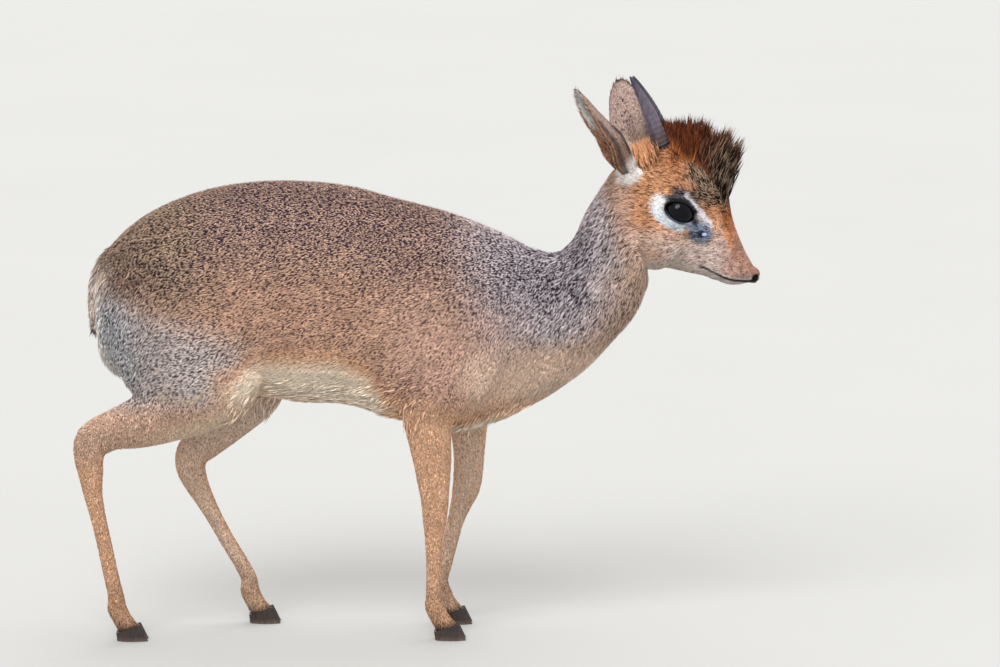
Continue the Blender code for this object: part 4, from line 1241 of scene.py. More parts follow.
class Look:
    """Node material built round a Principled shader."""

    def __init__(self, name):
        self.mat = bpy.data.materials.new(name)
        self.mat.use_nodes = True
        self.shader = self.mat.node_tree.nodes["Principled BSDF"]

    def node(self, kind, **settings):
        node = self.mat.node_tree.nodes.new("ShaderNode" + kind)
        for name, value in settings.items():
            setattr(node, name, value)
        return node

    def link(self, source, target):
        self.mat.node_tree.links.new(source, target)

    def feed(self, name, value):
        """Gives an input of the shader a number, or links an output to it."""
        if isinstance(value, bpy.types.NodeSocket):
            self.link(value, self.shader.inputs[name])
        else:
            self.shader.inputs[name].default_value = value

    def painted(self, name="coat", output="Color"):
        """Layer painted on the points of a mesh."""
        return self.node("Attribute", attribute_name=name).outputs[output]

    def noise(self, scale, detail=2.0, stretch=(1, 1, 1)):
        """Noise in the model's own metres, stretched along an axis where asked."""
        mapping, tex = self.node("Mapping"), self.node("TexNoise")
        mapping.inputs["Scale"].default_value = stretch
        tex.inputs["Scale"].default_value = scale
        tex.inputs["Detail"].default_value = detail
        self.link(self.node("TexCoord").outputs["Object"], mapping.inputs["Vector"])
        self.link(mapping.outputs["Vector"], tex.inputs["Vector"])
        return tex.outputs["Fac"]

    def spread(self, value, low, high, start=0.3, end=0.7):
        """Value spread between two limits, from where it starts and ends."""
        remap = self.node("MapRange")
        limits = {"From Min": start, "From Max": end, "To Min": low, "To Max": high}
        for name, number in limits.items():
            remap.inputs[name].default_value = number
        self.link(value, remap.inputs["Value"])
        return remap.outputs["Result"]

    def times(self, colour, factor):
        scale = self.node("VectorMath", operation="SCALE")
        self.link(colour, scale.inputs[0])
        self.link(factor, scale.inputs["Scale"])
        return scale.outputs["Vector"]

    def mottled(self, colour, *noises):
        """Colour varied by noises, each given by its scale, detail and limits."""
        for scale, detail, low, high in noises:
            colour = self.times(colour, self.spread(self.noise(scale, detail), low, high))
        return colour

    def bump(self, height, strength, distance):
        bump = self.node("Bump")
        bump.inputs["Strength"].default_value = strength
        bump.inputs["Distance"].default_value = distance
        self.link(height, bump.inputs["Height"])
        self.feed("Normal", bump.outputs["Normal"])


def fur_material(name, facing=0.55):
    """Hair: painted colours with fine and broad variation, shaded mostly as the skin under it lies."""
    look = Look(name)
    away = look.node("Math", operation="ABSOLUTE")
    look.link(look.painted("band", "Fac"), away.inputs[0])
    bands = look.node("Mix", data_type="RGBA")
    look.link(look.spread(away.outputs[0], 0.0, 1.0, 0.75, 1.25), bands.inputs["Factor"])
    look.link(look.painted(), bands.inputs[COLOUR_A])
    look.link(look.painted("dark"), bands.inputs[COLOUR_B])
    colour = look.mottled(bands.outputs[COLOUR_OUT], (38, 3, 0.90, 1.08), (700, 1, 0.88, 1.12))
    look.feed("Base Color", colour)
    mix = look.node("Mix", data_type="VECTOR")
    mix.inputs["Factor"].default_value = facing
    look.link(look.node("NewGeometry").outputs["Normal"], mix.inputs[VECTOR_A])
    look.link(look.painted("lay", "Vector"), mix.inputs[VECTOR_B])
    even = look.node("VectorMath", operation="NORMALIZE")
    look.link(mix.outputs[VECTOR_OUT], even.inputs[0])
    look.feed("Normal", even.outputs["Vector"])
    look.feed("Roughness", look.spread(look.noise(260, 2), 0.52, 0.70))
    look.feed("Specular IOR Level", 0.10)
    look.feed("Sheen Weight", 0.04)
    look.feed("Sheen Roughness", 0.5)
    return look.mat


def skin_material(name, streak=520.0, strength=0.5):
    """Skin under the hair: the same markings, with short flat hair as bump and flecks."""
    look = Look(name)
    fleck = look.noise(streak, 3)
    colour = look.times(look.painted(), look.spread(fleck, 0.62, 1.12))
    look.feed("Base Color", look.mottled(colour, (30, 2, 0.92, 1.06)))
    look.bump(fleck, strength, 0.0006)
    look.feed("Roughness", look.spread(fleck, 0.62, 0.82))
    look.feed("Specular IOR Level", 0.12)
    return look.mat


def eye_material():
    look = Look("eye_ball")
    look.feed("Base Color", look.mottled(look.painted(), (900, 3, 0.7, 1.3)))
    look.feed("Roughness", look.spread(look.noise(300, 1), 0.03, 0.07))
    look.feed("IOR", 1.26)
    return look.mat


def wet_material():
    """Bare moist skin of lids and gland."""
    look = Look("lid_skin")
    fine = look.noise(1400, 3)
    look.feed("Base Color", look.times(look.painted(), look.spread(fine, 0.7, 1.4)))
    look.bump(fine, 0.3, 0.0003)
    look.feed("Roughness", look.spread(fine, 0.30, 0.48))
    look.feed("Specular IOR Level", 0.3)
    return look.mat


def keratin_material(name, scale, stretch, low, high, strength):
    """Horn or hoof: painted colour, fibres along its length, worn satin."""
    look = Look(name)
    fibre = look.noise(scale, 4, stretch)
    colour = look.times(look.painted(), look.spread(fibre, 0.66, 1.35))
    look.feed("Base Color", look.mottled(colour, (60, 2, 0.82, 1.18)))
    look.bump(fibre, strength, 0.0005)
    look.feed("Roughness", look.spread(look.noise(200, 3), low, high))
    look.feed("Specular IOR Level", 0.35)
    return look.mat


def eye_ball(word, side, material):
    """Eyeball with a clear bulge, a brown iris and a level oval pupil; iris and pupil are near-black,
    tinted blue as a painted reflection of the sky.
    """
    axes, centre = eye_place(side)
    rings, spokes = EYE_GRID
    rows = []
    for i in range(1, rings):
        angle = math.pi * i / rings
        for turn in angles(spokes):
            wide = math.sin(angle)
            rows.append((wide * math.cos(turn), wide * math.sin(turn), math.cos(angle)))
    local = np.array([(0, 0, 1)] + rows + [(0, 0, -1)], float)
    out = np.hypot(local[:, 0], local[:, 1])
    front = local[:, 2] > 0
    bulge = 1 + EYE_BULGE * np.where(front, ramp(out, 0.75, 0.35), 0)
    local_mm = local * bulge[:, None] * EYE_RADIUS
    faces = []
    for k in range(spokes):
        nxt = (k + 1) % spokes
        faces.append((0, 1 + k, 1 + nxt))
        for i in range(rings - 2):
            a, b = 1 + i * spokes + k, 1 + i * spokes + nxt
            faces += [(a, a + spokes, b + spokes), (a, b + spokes, b)]
        last = 1 + (rings - 2) * spokes
        faces.append((last + k, len(local) - 1, last + nxt))
    mesh = mesh_of(f"eye_{word}_ball", in_frame(turned(local_mm @ axes.T + centre)), np.array(faces))
    x, y = local_mm[:, 0], local_mm[:, 1]
    pupil = ramp(np.hypot(x / PUPIL[0], y / PUPIL[1]), 1.08, 0.94)
    iris = ramp(np.hypot(x, y), 11.5, 10.0)
    white = srgb(0.07, 0.05, 0.05)
    colour = np.tile(white, (len(x), 1))
    # Near-black iris and pupil, tinted blue as a painted reflection of the sky.
    colour += (srgb(0.05, 0.05, 0.08) - colour) * iris[:, None]
    colour += (srgb(0.02, 0.03, 0.06) - colour) * pupil[:, None]
    colour[~front] = white
    colour_layer(mesh, "coat", colour)
    mesh.shade_smooth()
    return add_object(f"eye_{word}_ball", mesh, material, "eye", f"eye_{word}")


def lid_rim(word, side, material):
    """Dark bare rim of both lids, round the opening and close on the eyeball, with a painted pale
    blue-grey highlight along the lower lid.
    """
    axes, centre = eye_place(side)
    count, round_steps = LID_GRID
    spine = []
    for angle in angles(count):
        u, v = LID_OPENING[0] * 1.02 * math.cos(angle), LID_OPENING[1] * 1.02 * almond(angle)
        u += TEAR_CORNER * max(0.0, math.cos(angle) - 0.86) / 0.14
        depth = math.sqrt(max((EYE_RADIUS + 0.55) ** 2 - u * u - v * v, 12.0))
        spine.append((u, v, depth))
    spine = np.array(spine)
    middle = spine.mean(0)
    verts = []
    for k, point in enumerate(spine):
        ahead = spine[(k + 1) % count] - spine[k - 1]
        ahead /= np.linalg.norm(ahead)
        out = point / np.linalg.norm(point)
        away = np.cross(ahead, out)
        if away @ (point - middle) < 0:
            away = -away
        thick = UPPER_RIM if point[1] > 0 else LOWER_RIM
        for turn in angles(round_steps):
            high, wide = 0.8 * thick * math.sin(turn), 1.25 * thick * math.cos(turn)
            verts.append(point + out * high + away * wide)
    faces = []
    for k in range(count):
        for j in range(round_steps):
            a, b = k * round_steps + j, k * round_steps + (j + 1) % round_steps
            c, d = (a + round_steps) % len(verts), (b + round_steps) % len(verts)
            faces += [(a, b, d), (a, d, c)]
    verts = np.array(verts)
    mesh = mesh_of(f"lid_rim_{word}", in_frame(turned(verts @ axes.T + centre)), np.array(faces))
    # The lower rim turns pale blue-grey: a painted highlight along the wet lid.
    low = ramp(verts[:, 1], 0.0, -5.0)
    colour_layer(mesh, "coat", blend((0.06, 0.055, 0.07), (0.30, 0.35, 0.43), low))
    mesh.shade_smooth()
    return add_object(f"lid_rim_{word}", mesh, material, "coat_head"), spine


def gland_glint_bead(word, side, material):
    """Wet bead in the pit of the gland before the eye, painted pale blue on top as a glint and dark
    below as shade.
    """
    centre = mirrored(GLAND_BEAD, side)
    bead = blob(f"gland_glint_bead_{word}", centre, GLAND_BEAD_SIZE, level=4)
    bead.data.transform(HEAD_PLACE)
    height = points_of(bead)[:, 2] / MM - centre[2]
    # Pale blue on top as a painted glint, dark below as painted shade.
    colour = blend((0.11, 0.13, 0.18), (0.55, 0.64, 0.78), ramp(height, -1.5, 0.4))
    colour_layer(bead.data, "coat", colour)
    bead.data.shade_smooth()
    return finish_piece(bead, material, "coat_head")


def lashes(word, side, spine, material, rng):
    """Short dark lashes along the upper lid."""
    axes, centre = eye_place(side)
    upper = spine[(spine[:, 1] > 1.5) & (np.abs(spine[:, 0]) < 12)]
    roots = np.repeat(upper, 3, axis=0) + rng.normal(0, 0.25, (len(upper) * 3, 3))
    out = unit(roots)
    d = unit(out + np.array((-0.25, 0.75, 0.0)) + roots[:, :1] * np.array((0.03, 0.0, 0.0)))
    n = unit(np.cross(d, np.array((1.0, 0.0, 0.0))))
    turn = ROTATION @ axes
    p = in_frame(turned(roots @ axes.T + centre))
    d, n = d @ turn.T, n @ turn.T
    count = len(p)
    length, thin = rng.uniform(3.0, 5.2, count), np.full(count, 0.42)
    size = (length, thin, thin * 0.8, 0.0, 0.18, rng.normal(0, 0.1, count))
    mesh, _ = tuft_mesh(f"lashes_{word}", p, n, d, size, BENT, n)
    plain_layers(mesh, np.tile(srgb(0.09, 0.07, 0.07), (len(mesh.vertices), 1)))
    return add_object(f"lashes_{word}", mesh, material, "coat_head")


def fine_horn(word, side, material):
    """Horn with close rings over its lower part, fine fibres and a smooth point; the far, left horn is
    painted darker as shade.
    """
    base, tip, axis = horn_axis(side)
    length = (tip - base).length
    axes = frame_on(axis, hint=(1, 0, 0))
    rings, shares = [], []
    steps, spokes = HORN_GRID
    for step in range(steps):
        t = step / steps
        radius = HORN_BASE_RADIUS * (1 - t) ** HORN_TAPER + HORN_TIP_RADIUS * t
        ringed = t / HORN_RINGED_SHARE
        phase = 2 * math.pi * (HORN_RINGS + 2) * ringed ** 0.9
        ridge = HORN_RING_HEIGHT * max(0.0, 1 - ringed) ** 0.7 * (1 - abs(math.sin(phase / 2)) * 1.6)
        bend = HORN_BEND * math.sin(math.pi * t)
        centre = base + axis * (GAP + t * (length - GAP)) + axes.col[1] * bend
        ring = []
        for angle in angles(spokes):
            spoke = axes.col[0] * math.cos(angle) + axes.col[1] * (HORN_DEPTH_RATIO * math.sin(angle))
            wave = HORN_WAVE * math.sin(5 * angle + 9 * t) * (1 - t)
            ring.append(centre + spoke * (radius + ridge + wave))
            shares.append(t)
        rings.append(ring)
    obj = loft(f"horn_{word}_fine", rings, tip=tip)
    obj.data.transform(HEAD_PLACE)
    t = np.array(shares + [0.0, 1.0])[: len(obj.data.vertices)]
    colour = blend((0.27, 0.22, 0.23), (0.34, 0.31, 0.36), ramp(t, 0.1, 0.4))
    colour += (srgb(0.22, 0.21, 0.26) - colour) * ramp(t, 0.6, 0.95)[:, None]
    # The far, left horn is painted darker as shade.
    colour_layer(obj.data, "coat", colour * (1.0 if side == RIGHT else 0.55))
    obj.data.shade_smooth()
    return finish_piece(obj, material, "horn", f"horn_{word}")


EAR_SUNK = 3.0
EAR_GRID = (44, 33)
EAR_EDGE = 0.985
EAR_SKIN_INSET = 0.35
FRINGE_HAIRS = 420
TIP_HAIRS = 80
DARK_EDGE = ((0.34, 0.27, 0.26), (0.18, 0.14, 0.14))


def ear_sheet(place, t, s, inset):
    return np.array(ear_point(smooth_rows(EAR_LEAF, 4), t, s, inset, place))


def ear_leaf(name, place):
    """Mesh of an ear's leaf, and its points' shares along it and across it and their side."""
    high, wide = EAR_GRID
    verts, marks = [], []
    for inner in (0, 1):
        for t in np.linspace(0, 1, high) ** 0.9:
            for s in np.linspace(-1, 1, wide):
                inset = inner * (0.25 + 1.25 * (1 - abs(s) ** 6) * (1 - 0.5 * t))
                verts.append(ear_sheet(place, t, s * EAR_EDGE, EAR_SKIN_INSET + inset))
                marks.append((t, s, inner))
    far = wide * high
    faces = []
    for start in (0, far):
        for i in range(high - 1):
            for k in range(wide - 1):
                a = start + i * wide + k
                quad = (a, a + 1, a + wide + 1, a + wide)
                faces.append(quad if start else quad[::-1])
    for i in range(high - 1):
        for k in (0, wide - 1):
            a = i * wide + k
            quad = (a, a + wide, a + wide + far, a + far)
            faces.append(quad if k else quad[::-1])
    for k in range(wide - 1):
        for i in (0, high - 1):
            a = i * wide + k
            quad = (a, a + 1, a + 1 + far, a + far)
            faces.append(quad[::-1] if i else quad)
    mesh = mesh_of(name, in_frame(turned(np.array(verts))), np.array(faces))
    bm = bmesh.new()
    bm.from_mesh(mesh)
    bmesh.ops.recalc_face_normals(bm, faces=bm.faces)
    bm.to_mesh(mesh)
    bm.free()
    return mesh, np.array(marks)


def ear_paint(side, t, s, inner):
    """Colours of an ear: pale back with dark flecks and edge, whitish streaked cup; a brown wall with
    dark patches, strongest on the near ear, is partly painted shade.
    """
    front = s if side == RIGHT else -s
    # The near ear takes the brown wall and its painted shade in full, the far ear only a little.
    wall = 1.0 if side == RIGHT else 0.35
    c = Paint(len(t), (0.72, 0.62, 0.58), (0.46, 0.37, 0.34), 0.35)
    # Brown wall low at the front: partly the ear's own colour, partly painted shade.
    brown = wall * ramp(t, 0.62, 0.15) * ramp(front, 0.0, 0.35)
    c.zone(brown, (0.60, 0.49, 0.42), (0.36, 0.28, 0.25), 0.4)
    c.zone(ramp(t, 0.20, 0.04), (0.94, 0.90, 0.88), (0.66, 0.60, 0.57), 0.2)
    # Dark patches at the fold by the front edge and low in the wall: painted shade.
    shade_patches = ramp(np.abs(front - 0.80), 0.14, 0.06) * ramp(t, 0.80, 0.60)
    shade_patches = shade_patches + ramp(np.abs(front - 0.28), 0.20, 0.08) * ramp(np.abs(t - 0.33), 0.26, 0.12)
    c.zone(shade_patches * wall * 0.8, (0.32, 0.27, 0.28), (0.16, 0.13, 0.15), 0.5)
    margin = ((0.80, 0.55, 0.36), (0.42, 0.28, 0.22)) if side == RIGHT else DARK_EDGE
    c.zone(ramp(np.abs(s), 0.86, 0.93), *margin, 0.5)
    c.zone(ramp(np.abs(s), 0.93, 0.98) + ramp(t, 0.95, 0.985), *DARK_EDGE, 0.6)
    streaks = 0.5 + 0.5 * np.sin(np.abs(s) * 26 + 3 * t)
    c.zone(inner, (1.0, 0.99, 0.98), (0.82, 0.78, 0.78), 0.12)
    c.zone(inner * ramp(streaks, 0.78, 0.97) * 0.6, (0.60, 0.54, 0.53), (0.34, 0.29, 0.29), 0.5)
    c.zone(inner * ramp(np.abs(s), 0.9, 0.97), (0.82, 0.60, 0.42), (0.50, 0.34, 0.26), 0.3)
    c.zone(inner * ramp(t, 0.52, 0.38), (0.72, 0.52, 0.41), (0.44, 0.29, 0.22), 0.35)
    return c


def ear_fur(name, leaf, marks, c, along, fur, rng):
    """Fine lying hair over an ear's leaf, longer at the edges of its cup."""
    count = amount(EAR_TUFTS)
    p, n, rows, mix = scatter(leaf, count, lambda q: np.ones(len(q)), rng)

    def spot(values):
        return sum(mix[:, k : k + 1] * values[rows[:, k]].reshape(count, -1) for k in range(3))

    t, s, in_cup = spot(marks).T
    paint = Paint(count)
    paint.pale, paint.dark, paint.tick = spot(c.pale), spot(c.dark), spot(c.tick)[:, 0]
    specks = clumps(design(p), 2.0, rng) > 0.86
    specks &= (np.abs(s) < 0.32) & (in_cup < 0.5) & (t > 0.22) & (t < 0.85)
    paint.pale[specks] = srgb(0.26, 0.20, 0.22)
    paint.dark[specks] = srgb(0.20, 0.15, 0.17)
    d = np.tile(ROTATION @ along, (count, 1)) + rng.normal(0, 0.12, (count, 3))
    d = unit(d - n * np.sum(d * n, axis=1, keepdims=True))
    long_hair = in_cup * ramp(np.abs(s), 0.35, 0.75)
    length = rng.uniform(1.6, 2.6, count) + 5.0 * long_hair * rng.random(count)
    width = 0.62 + 0.2 * long_hair
    lift = rng.uniform(0.10, 0.26, count) + 0.2 * long_hair
    size = (length, width, width * 0.35, lift, 0.0, 0.0)
    coat_piece(name, "coat_ear", fur, p, n, size, rng, paint=paint, d=d)


def ear_fringe(name, place, along, fur, rng):
    """Short pale hairs that stand out from an ear's edge, closest at its tip."""
    count = FRINGE_HAIRS
    at, end = rng.uniform(0.12, 0.99, count), rng.choice((-1.0, 1.0), count)
    at[:TIP_HAIRS] = rng.uniform(0.93, 1.0, TIP_HAIRS)
    here = np.array([ear_sheet(place, a, e * EAR_EDGE, 0.6) for a, e in zip(at, end)])
    near = np.array([ear_sheet(place, a, e * 0.90, 0.6) for a, e in zip(at, end)])
    out = unit(here - near)
    d = unit(out * 0.55 + along + rng.normal(0, 0.15, (count, 3)))
    n = unit(np.cross(d, np.cross(out, d)))
    paint = Paint(count, (0.88, 0.84, 0.80), (0.55, 0.45, 0.40), 0.2)
    length, width = rng.uniform(1.6, 3.0, count), np.full(count, 0.6)
    size = (length, width, width * 0.5, 0.05, 0.0, rng.normal(0, 0.1, count))
    coat_piece(name, "coat_ear", fur, in_frame(turned(here)), n @ ROTATION.T, size, rng,
               paint=paint, d=d @ ROTATION.T)


def fine_ear(word, side, skin, fur, rng):
    """Ear leaf with a thin edge, painted back and cup, its hair and its fringe."""
    base, length, across, facing, along = ear_axes(side)
    place = (base - along * EAR_SUNK, length + EAR_SUNK, across, facing, along)
    mesh, marks = ear_leaf(f"ear_{word}_leaf", place)
    c = ear_paint(side, *marks.T)
    colour_layer(mesh, "coat", c.mean(0.6))
    mesh.shade_smooth()
    leaf = add_object(f"ear_{word}_leaf", mesh, skin, "coat_ear", f"ear_{word}")
    along = np.array(along)
    ear_fur(f"ear_{word}_fur", leaf, marks, c, along, fur, rng)
    ear_fringe(f"ear_{word}_fringe", place, along, fur, rng)


EAR_HORN_GAP = (205, 19, 404)
CREST_FIRST_X, CREST_LAST_X = 219.0, 269.0
CREST_HALF_WIDTH = 14.5
CREST_LEAN = (-9.0, 27.0)
CREST_FAN = 19.0
CREST_LENGTHS = (26.0, 47.0)
CREST_SIDE_LOSS = 0.48
CREST_LOCKS = 150
CREST_STEPS = (0.0, 0.2, 0.4, 0.6, 0.8)
# The crest's notch: its share along the crest, its reach and its depth.
CREST_NOTCH = (0.66, 0.07, 0.16)
RAY_HEIGHT = 470.0


def crest_roots(skin, share, spot):
    """Points of the crown under shares along the crest and across it."""
    surface = surface_of(skin)
    down = Vector(ROTATION @ np.array((0.0, 0.0, -1.0)))
    x = CREST_FIRST_X + (CREST_LAST_X - CREST_FIRST_X) * share
    y = spot * CREST_HALF_WIDTH * (1 - 0.35 * share)
    starts = turned(np.stack([x, y, np.full(len(x), RAY_HEIGHT)], axis=1))
    return np.array([surface.ray_cast(Vector(start) * MM + OFFSET, down)[0] for start in starts])


def crest(skin, fur, rng):
    """Upright brush of fine hairs in pointed locks, dark rufous behind and speckled in front."""
    locks, hairs = CREST_LOCKS, amount(LOCK_HAIRS)
    lock_share = ((np.arange(locks) + rng.random(locks)) / locks) ** 0.92
    lock_spot = np.clip(rng.normal(0, 0.55, locks), -1, 1)
    lean = CREST_LEAN[0] + (CREST_LEAN[1] - CREST_LEAN[0]) * lock_share + rng.normal(0, 4.5, locks)
    lean, fan = np.radians(lean), np.radians(lock_spot * CREST_FAN + rng.normal(0, 4, locks))
    ways = np.stack([np.sin(lean) * np.cos(fan), np.sin(fan), np.cos(lean) * np.cos(fan)], axis=1)
    ways = unit(ways) @ ROTATION.T
    length = CREST_LENGTHS[0] + (CREST_LENGTHS[1] - CREST_LENGTHS[0]) * lock_share
    length = length * (1 - CREST_SIDE_LOSS * lock_spot**2) * (1 - np.abs(rng.normal(0, 0.16, locks)))
    middle, reach, deep = CREST_NOTCH
    length = length * (1 - deep * np.exp(-(((lock_share - middle) / reach) ** 2)))
    lock_roots = crest_roots(skin, lock_share, lock_spot)
    lock_tips = lock_roots + ways * (length * MM)[:, None]
    of = np.repeat(np.arange(locks), hairs)
    count = len(of)
    share = np.clip(lock_share[of] + rng.normal(0, 0.045, count), 0, 1)
    spot = np.clip(lock_spot[of] + rng.normal(0, 0.17, count), -1, 1)
    roots = crest_roots(skin, share, spot)
    tips = lock_tips[of] + (roots - lock_roots[of]) * 0.35 + rng.normal(0, 0.9 * MM, (count, 3))
    roots = roots - ways[of] * (2.0 * MM)
    reach = (tips - roots) * rng.uniform(0.72, 1.02, (count, 1))
    long = np.linalg.norm(reach, axis=1)
    d = reach / long[:, None]
    ahead = ROTATION @ np.array((1.0, 0.0, 0.0))
    n = unit(ahead - d * (d @ ahead)[:, None])
    n = unit(n + np.cross(d, n) * rng.normal(0, 0.5, (count, 1)))
    width = rng.uniform(0.8, 1.4, count)
    bend, sway = rng.normal(0.0, 0.05, count), rng.normal(0, 0.04, count)
    size = (long / MM, width, width * 0.45, 0.0, bend, sway)
    outward = unit(np.stack([ramp(share, 0.5, 1.0) * 0.8, spot * 1.1, np.full(count, 0.75)], axis=1))
    mesh, _ = tuft_mesh("crest_hair", roots, n, d, size, CREST_STEPS, outward @ ROTATION.T)
    front = ramp(share, 0.45, 0.95)
    edge = ramp(np.abs(spot), 0.2, 0.8)
    c = Paint(count, (0.43, 0.22, 0.11), (0.20, 0.09, 0.05), 0.48)
    c.zone(ramp(share, 0.12, 0.0), (0.26, 0.16, 0.12), (0.10, 0.06, 0.05), 0.6)
    c.zone(front * 0.8, (0.47, 0.34, 0.25), (0.09, 0.07, 0.06), 0.64)
    c.zone(front * edge, (0.58, 0.49, 0.41), (0.07, 0.055, 0.05), 0.68)
    band = rng.random((count, 6)) < c.tick[:, None]
    band[:, 5] = rng.random(count) < 0.75 - 0.45 * front
    # Rings darken towards the root: painted shade inside the brush.
    shade = np.array((0.45, 0.60, 0.78, 0.92, 1.0, 1.0))
    rings = np.where(band[:, :, None], c.dark[:, None], c.pale[:, None]) * shade[None, :, None]
    rings = rings * np.exp(rng.normal(0, 0.15, (count, 1, 1)))
    fade = np.array((1.0, 0.85, 0.45, 0.15, 0.0, 0.0))[None] * (edge * (1 - front))[:, None]
    rings += (srgb(0.70, 0.42, 0.25) - rings) * fade[:, :, None]
    plain_layers(mesh, np.repeat(rings, (3, 3, 3, 3, 3, 1), axis=1).reshape(-1, 3))
    return add_object("crest_hair", mesh, fur, "coat_head")


def fine_hoof(name, limb, side, material):
    """Two pointed claws with growth lines, a groove between them and a worn edge."""
    x, y = limb[-1][0], side * limb[-1][1]
    claws = []
    for inner in (-1, 1):
        rings = []
        for height in CLAW_HEIGHTS:
            length = CLAW_LENGTH + (CLAW_TOP_LENGTH - CLAW_LENGTH) * height
            trim = 0.965 if height == 0.0 else 1.0 + 0.006 * math.sin(height * 60)
            ring = []
            for angle in angles(40):
                ahead, across = math.cos(angle), math.sin(angle)
                taper = 1 - CLAW_TOE_TAPER * max(0.0, ahead) ** 2
                toe = inner * CLAW_SPLAY * max(0.0, ahead) ** 2 * (1 - height)
                ring.append(Vector((
                    x + CLAW_CENTRE_X - CLAW_TOP_SETBACK * height + ahead * length / 2 * trim,
                    y + inner * CLAW_SPREAD + toe + across * taper * CLAW_WIDTH / 2 * trim,
                    height * CLAW_TOP_HEIGHT,
                )))
            rings.append(ring)
        claws.append(loft("claw", rings))
    boolean(claws[0], claws[1:], "UNION")
    axes = coronet_axes()
    top = Vector((x + HOOF_CORONET_X, y, HOOF_CORONET_Z - GAP))
    cutter = box("above", top + axes.col[2] * CUTTER_SIZE[2], axes, CUTTER_SIZE)
    boolean(claws[0], [cutter], "DIFFERENCE")
    obj = claws[0]
    obj.name = f"hoof_{name}_claws"
    obj.data.transform(Matrix.Translation(OFFSET))
    z = points_of(obj)[:, 2] / MM
    colour_layer(obj.data, "coat", blend((0.20, 0.17, 0.16), (0.33, 0.28, 0.25), ramp(z, 4, 0)))
    obj.data.shade_smooth()
    obj.data.set_sharp_from_angle(angle=math.radians(48))
    return finish_piece(obj, material, "hoof", f"hoof_{name}")


# Shortest and longest hair of belly, chest, seat and tail, and between ear and horn.
LONG_HAIR = (9.0, 14.0)
EAR_BASE_HAIR = (7.0, 18.0)
# Length and width of the lying hair on the body, on the head, and on muzzle and lids.
BODY_HAIR = (5.7, 1.18)
HEAD_HAIR = (4.8, 0.80)
FACE_HAIR = (2.3, 0.70)


def hair_size(q, rng):
    """Length, width and lift of the lying hair at design points."""
    count = len(q)
    h = head_space(q)
    head = head_weight(q, h, -12, 10)
    leg = ramp(q[:, 2], 240, 180) * (1 - head)
    ring = eye_share(h)[2]
    length = BODY_HAIR[0] - 1.6 * leg + 0.5 * neck_weight(q, -20, 20)
    length = length + (HEAD_HAIR[0] - length) * head
    small = head * np.maximum(ramp(h[:, 0], 244, 275), ramp(ring, 2.4, 1.4))
    length = length + (FACE_HAIR[0] - length) * small
    length = length - 1.2 * ramp(q[:, 2], 50, 15)
    width = BODY_HAIR[1] - 0.2 * leg
    width = width + (HEAD_HAIR[1] - width) * head
    width = width + (FACE_HAIR[1] - width) * small
    length = length * rng.uniform(0.78, 1.18, count)
    width = width * rng.uniform(0.8, 1.2, count)
    crown = head * crown_share(h)
    coronet = ramp(q[:, 2], 25, 15)
    length = length + 3.6 * crown + 3.2 * coronet
    lift = coat_depth(q) * rng.uniform(0.55, 1.05, count) * (1 - 0.35 * leg) / length
    lift = lift * ramp(q[:, 2], 4, 30) + 0.26 * crown + 0.28 * coronet * rng.random(count)
    return length, width, lift


def piece_labels(q):
    """Name of the coat piece that each root belongs to."""
    h = head_space(q)
    head = on_head(q, h)
    neck = (plane_side(q, NECK_BASE) > 0) & ~head
    label = np.full(len(q), "torso_middle", dtype=object)
    label[q[:, 0] < -135] = "torso_rump"
    label[q[:, 0] > -20] = "torso_shoulder"
    right = q[:, 1] < 0
    fore = (q[:, 0] > -16) & (q[:, 2] < 202)
    hind = (q[:, 0] < -62) & (q[:, 2] < 206)
    for mask, word in ((fore, "leg_fore"), (hind, "leg_hind")):
        label[mask & right] = word + "_right"
        label[mask & ~right] = word + "_left"
    tail = (q[:, 0] < -243) & (np.abs(q[:, 1]) < 9) & (q[:, 2] > 250) & (q[:, 2] < 325)
    label[tail] = "tail"
    label[neck] = "neck"
    label[head & right] = "head_right"
    label[head & ~right] = "head_left"
    return label


COAT_SLOTS = {
    "torso": "coat_back",
    "neck": "coat_neck",
    "head": "coat_head",
    "leg": "coat_leg",
    "tail": "coat_tail",
}


def tip_places(p, n, d, length, lift):
    return p + d * (length * MM)[:, None] + n * (length * lift * MM)[:, None]


# Oval distance from the eye, and millimetres from a nostril, from the line of the mouth and from
# the floor, that hair stays clear of; and the height of its lowest roots.
BARE_EYE = 1.12
BARE_NOSTRIL = 3.6
BARE_MOUTH = 0.7
BARE_FLOOR = 0.6
LOWEST_ROOT = 8.0


def clear_of_features(q, n, tips):
    """Hairs whose roots and tips stay off eyes, nostrils, horns and the line of the mouth."""
    h = head_space(q)
    bare = np.zeros(len(q), bool)
    for points in (h, head_space(tips)):
        bare |= (eye_share(points)[2] < BARE_EYE) & (np.abs(points[:, 1]) > 10)
        bare |= nearest(points, NOSTRIL) < BARE_NOSTRIL
    for side in BOTH:
        base, _, axis = (np.array(v) for v in horn_axis(side))
        along = (h - base) @ axis
        off = np.linalg.norm(h - base - along[:, None] * axis, axis=1)
        bare |= (off < HORN_BASE_RADIUS - 0.6) & (along > -1.5)
    by_mouth = np.abs(h[:, 2] - mouth_height(h[:, 0])) < BARE_MOUTH
    bare |= (h[:, 0] > 254) & by_mouth & (np.abs(n[:, 1]) > 0.2)
    return ~(bare & (plane_side(q, HEAD_BASE) > -5))


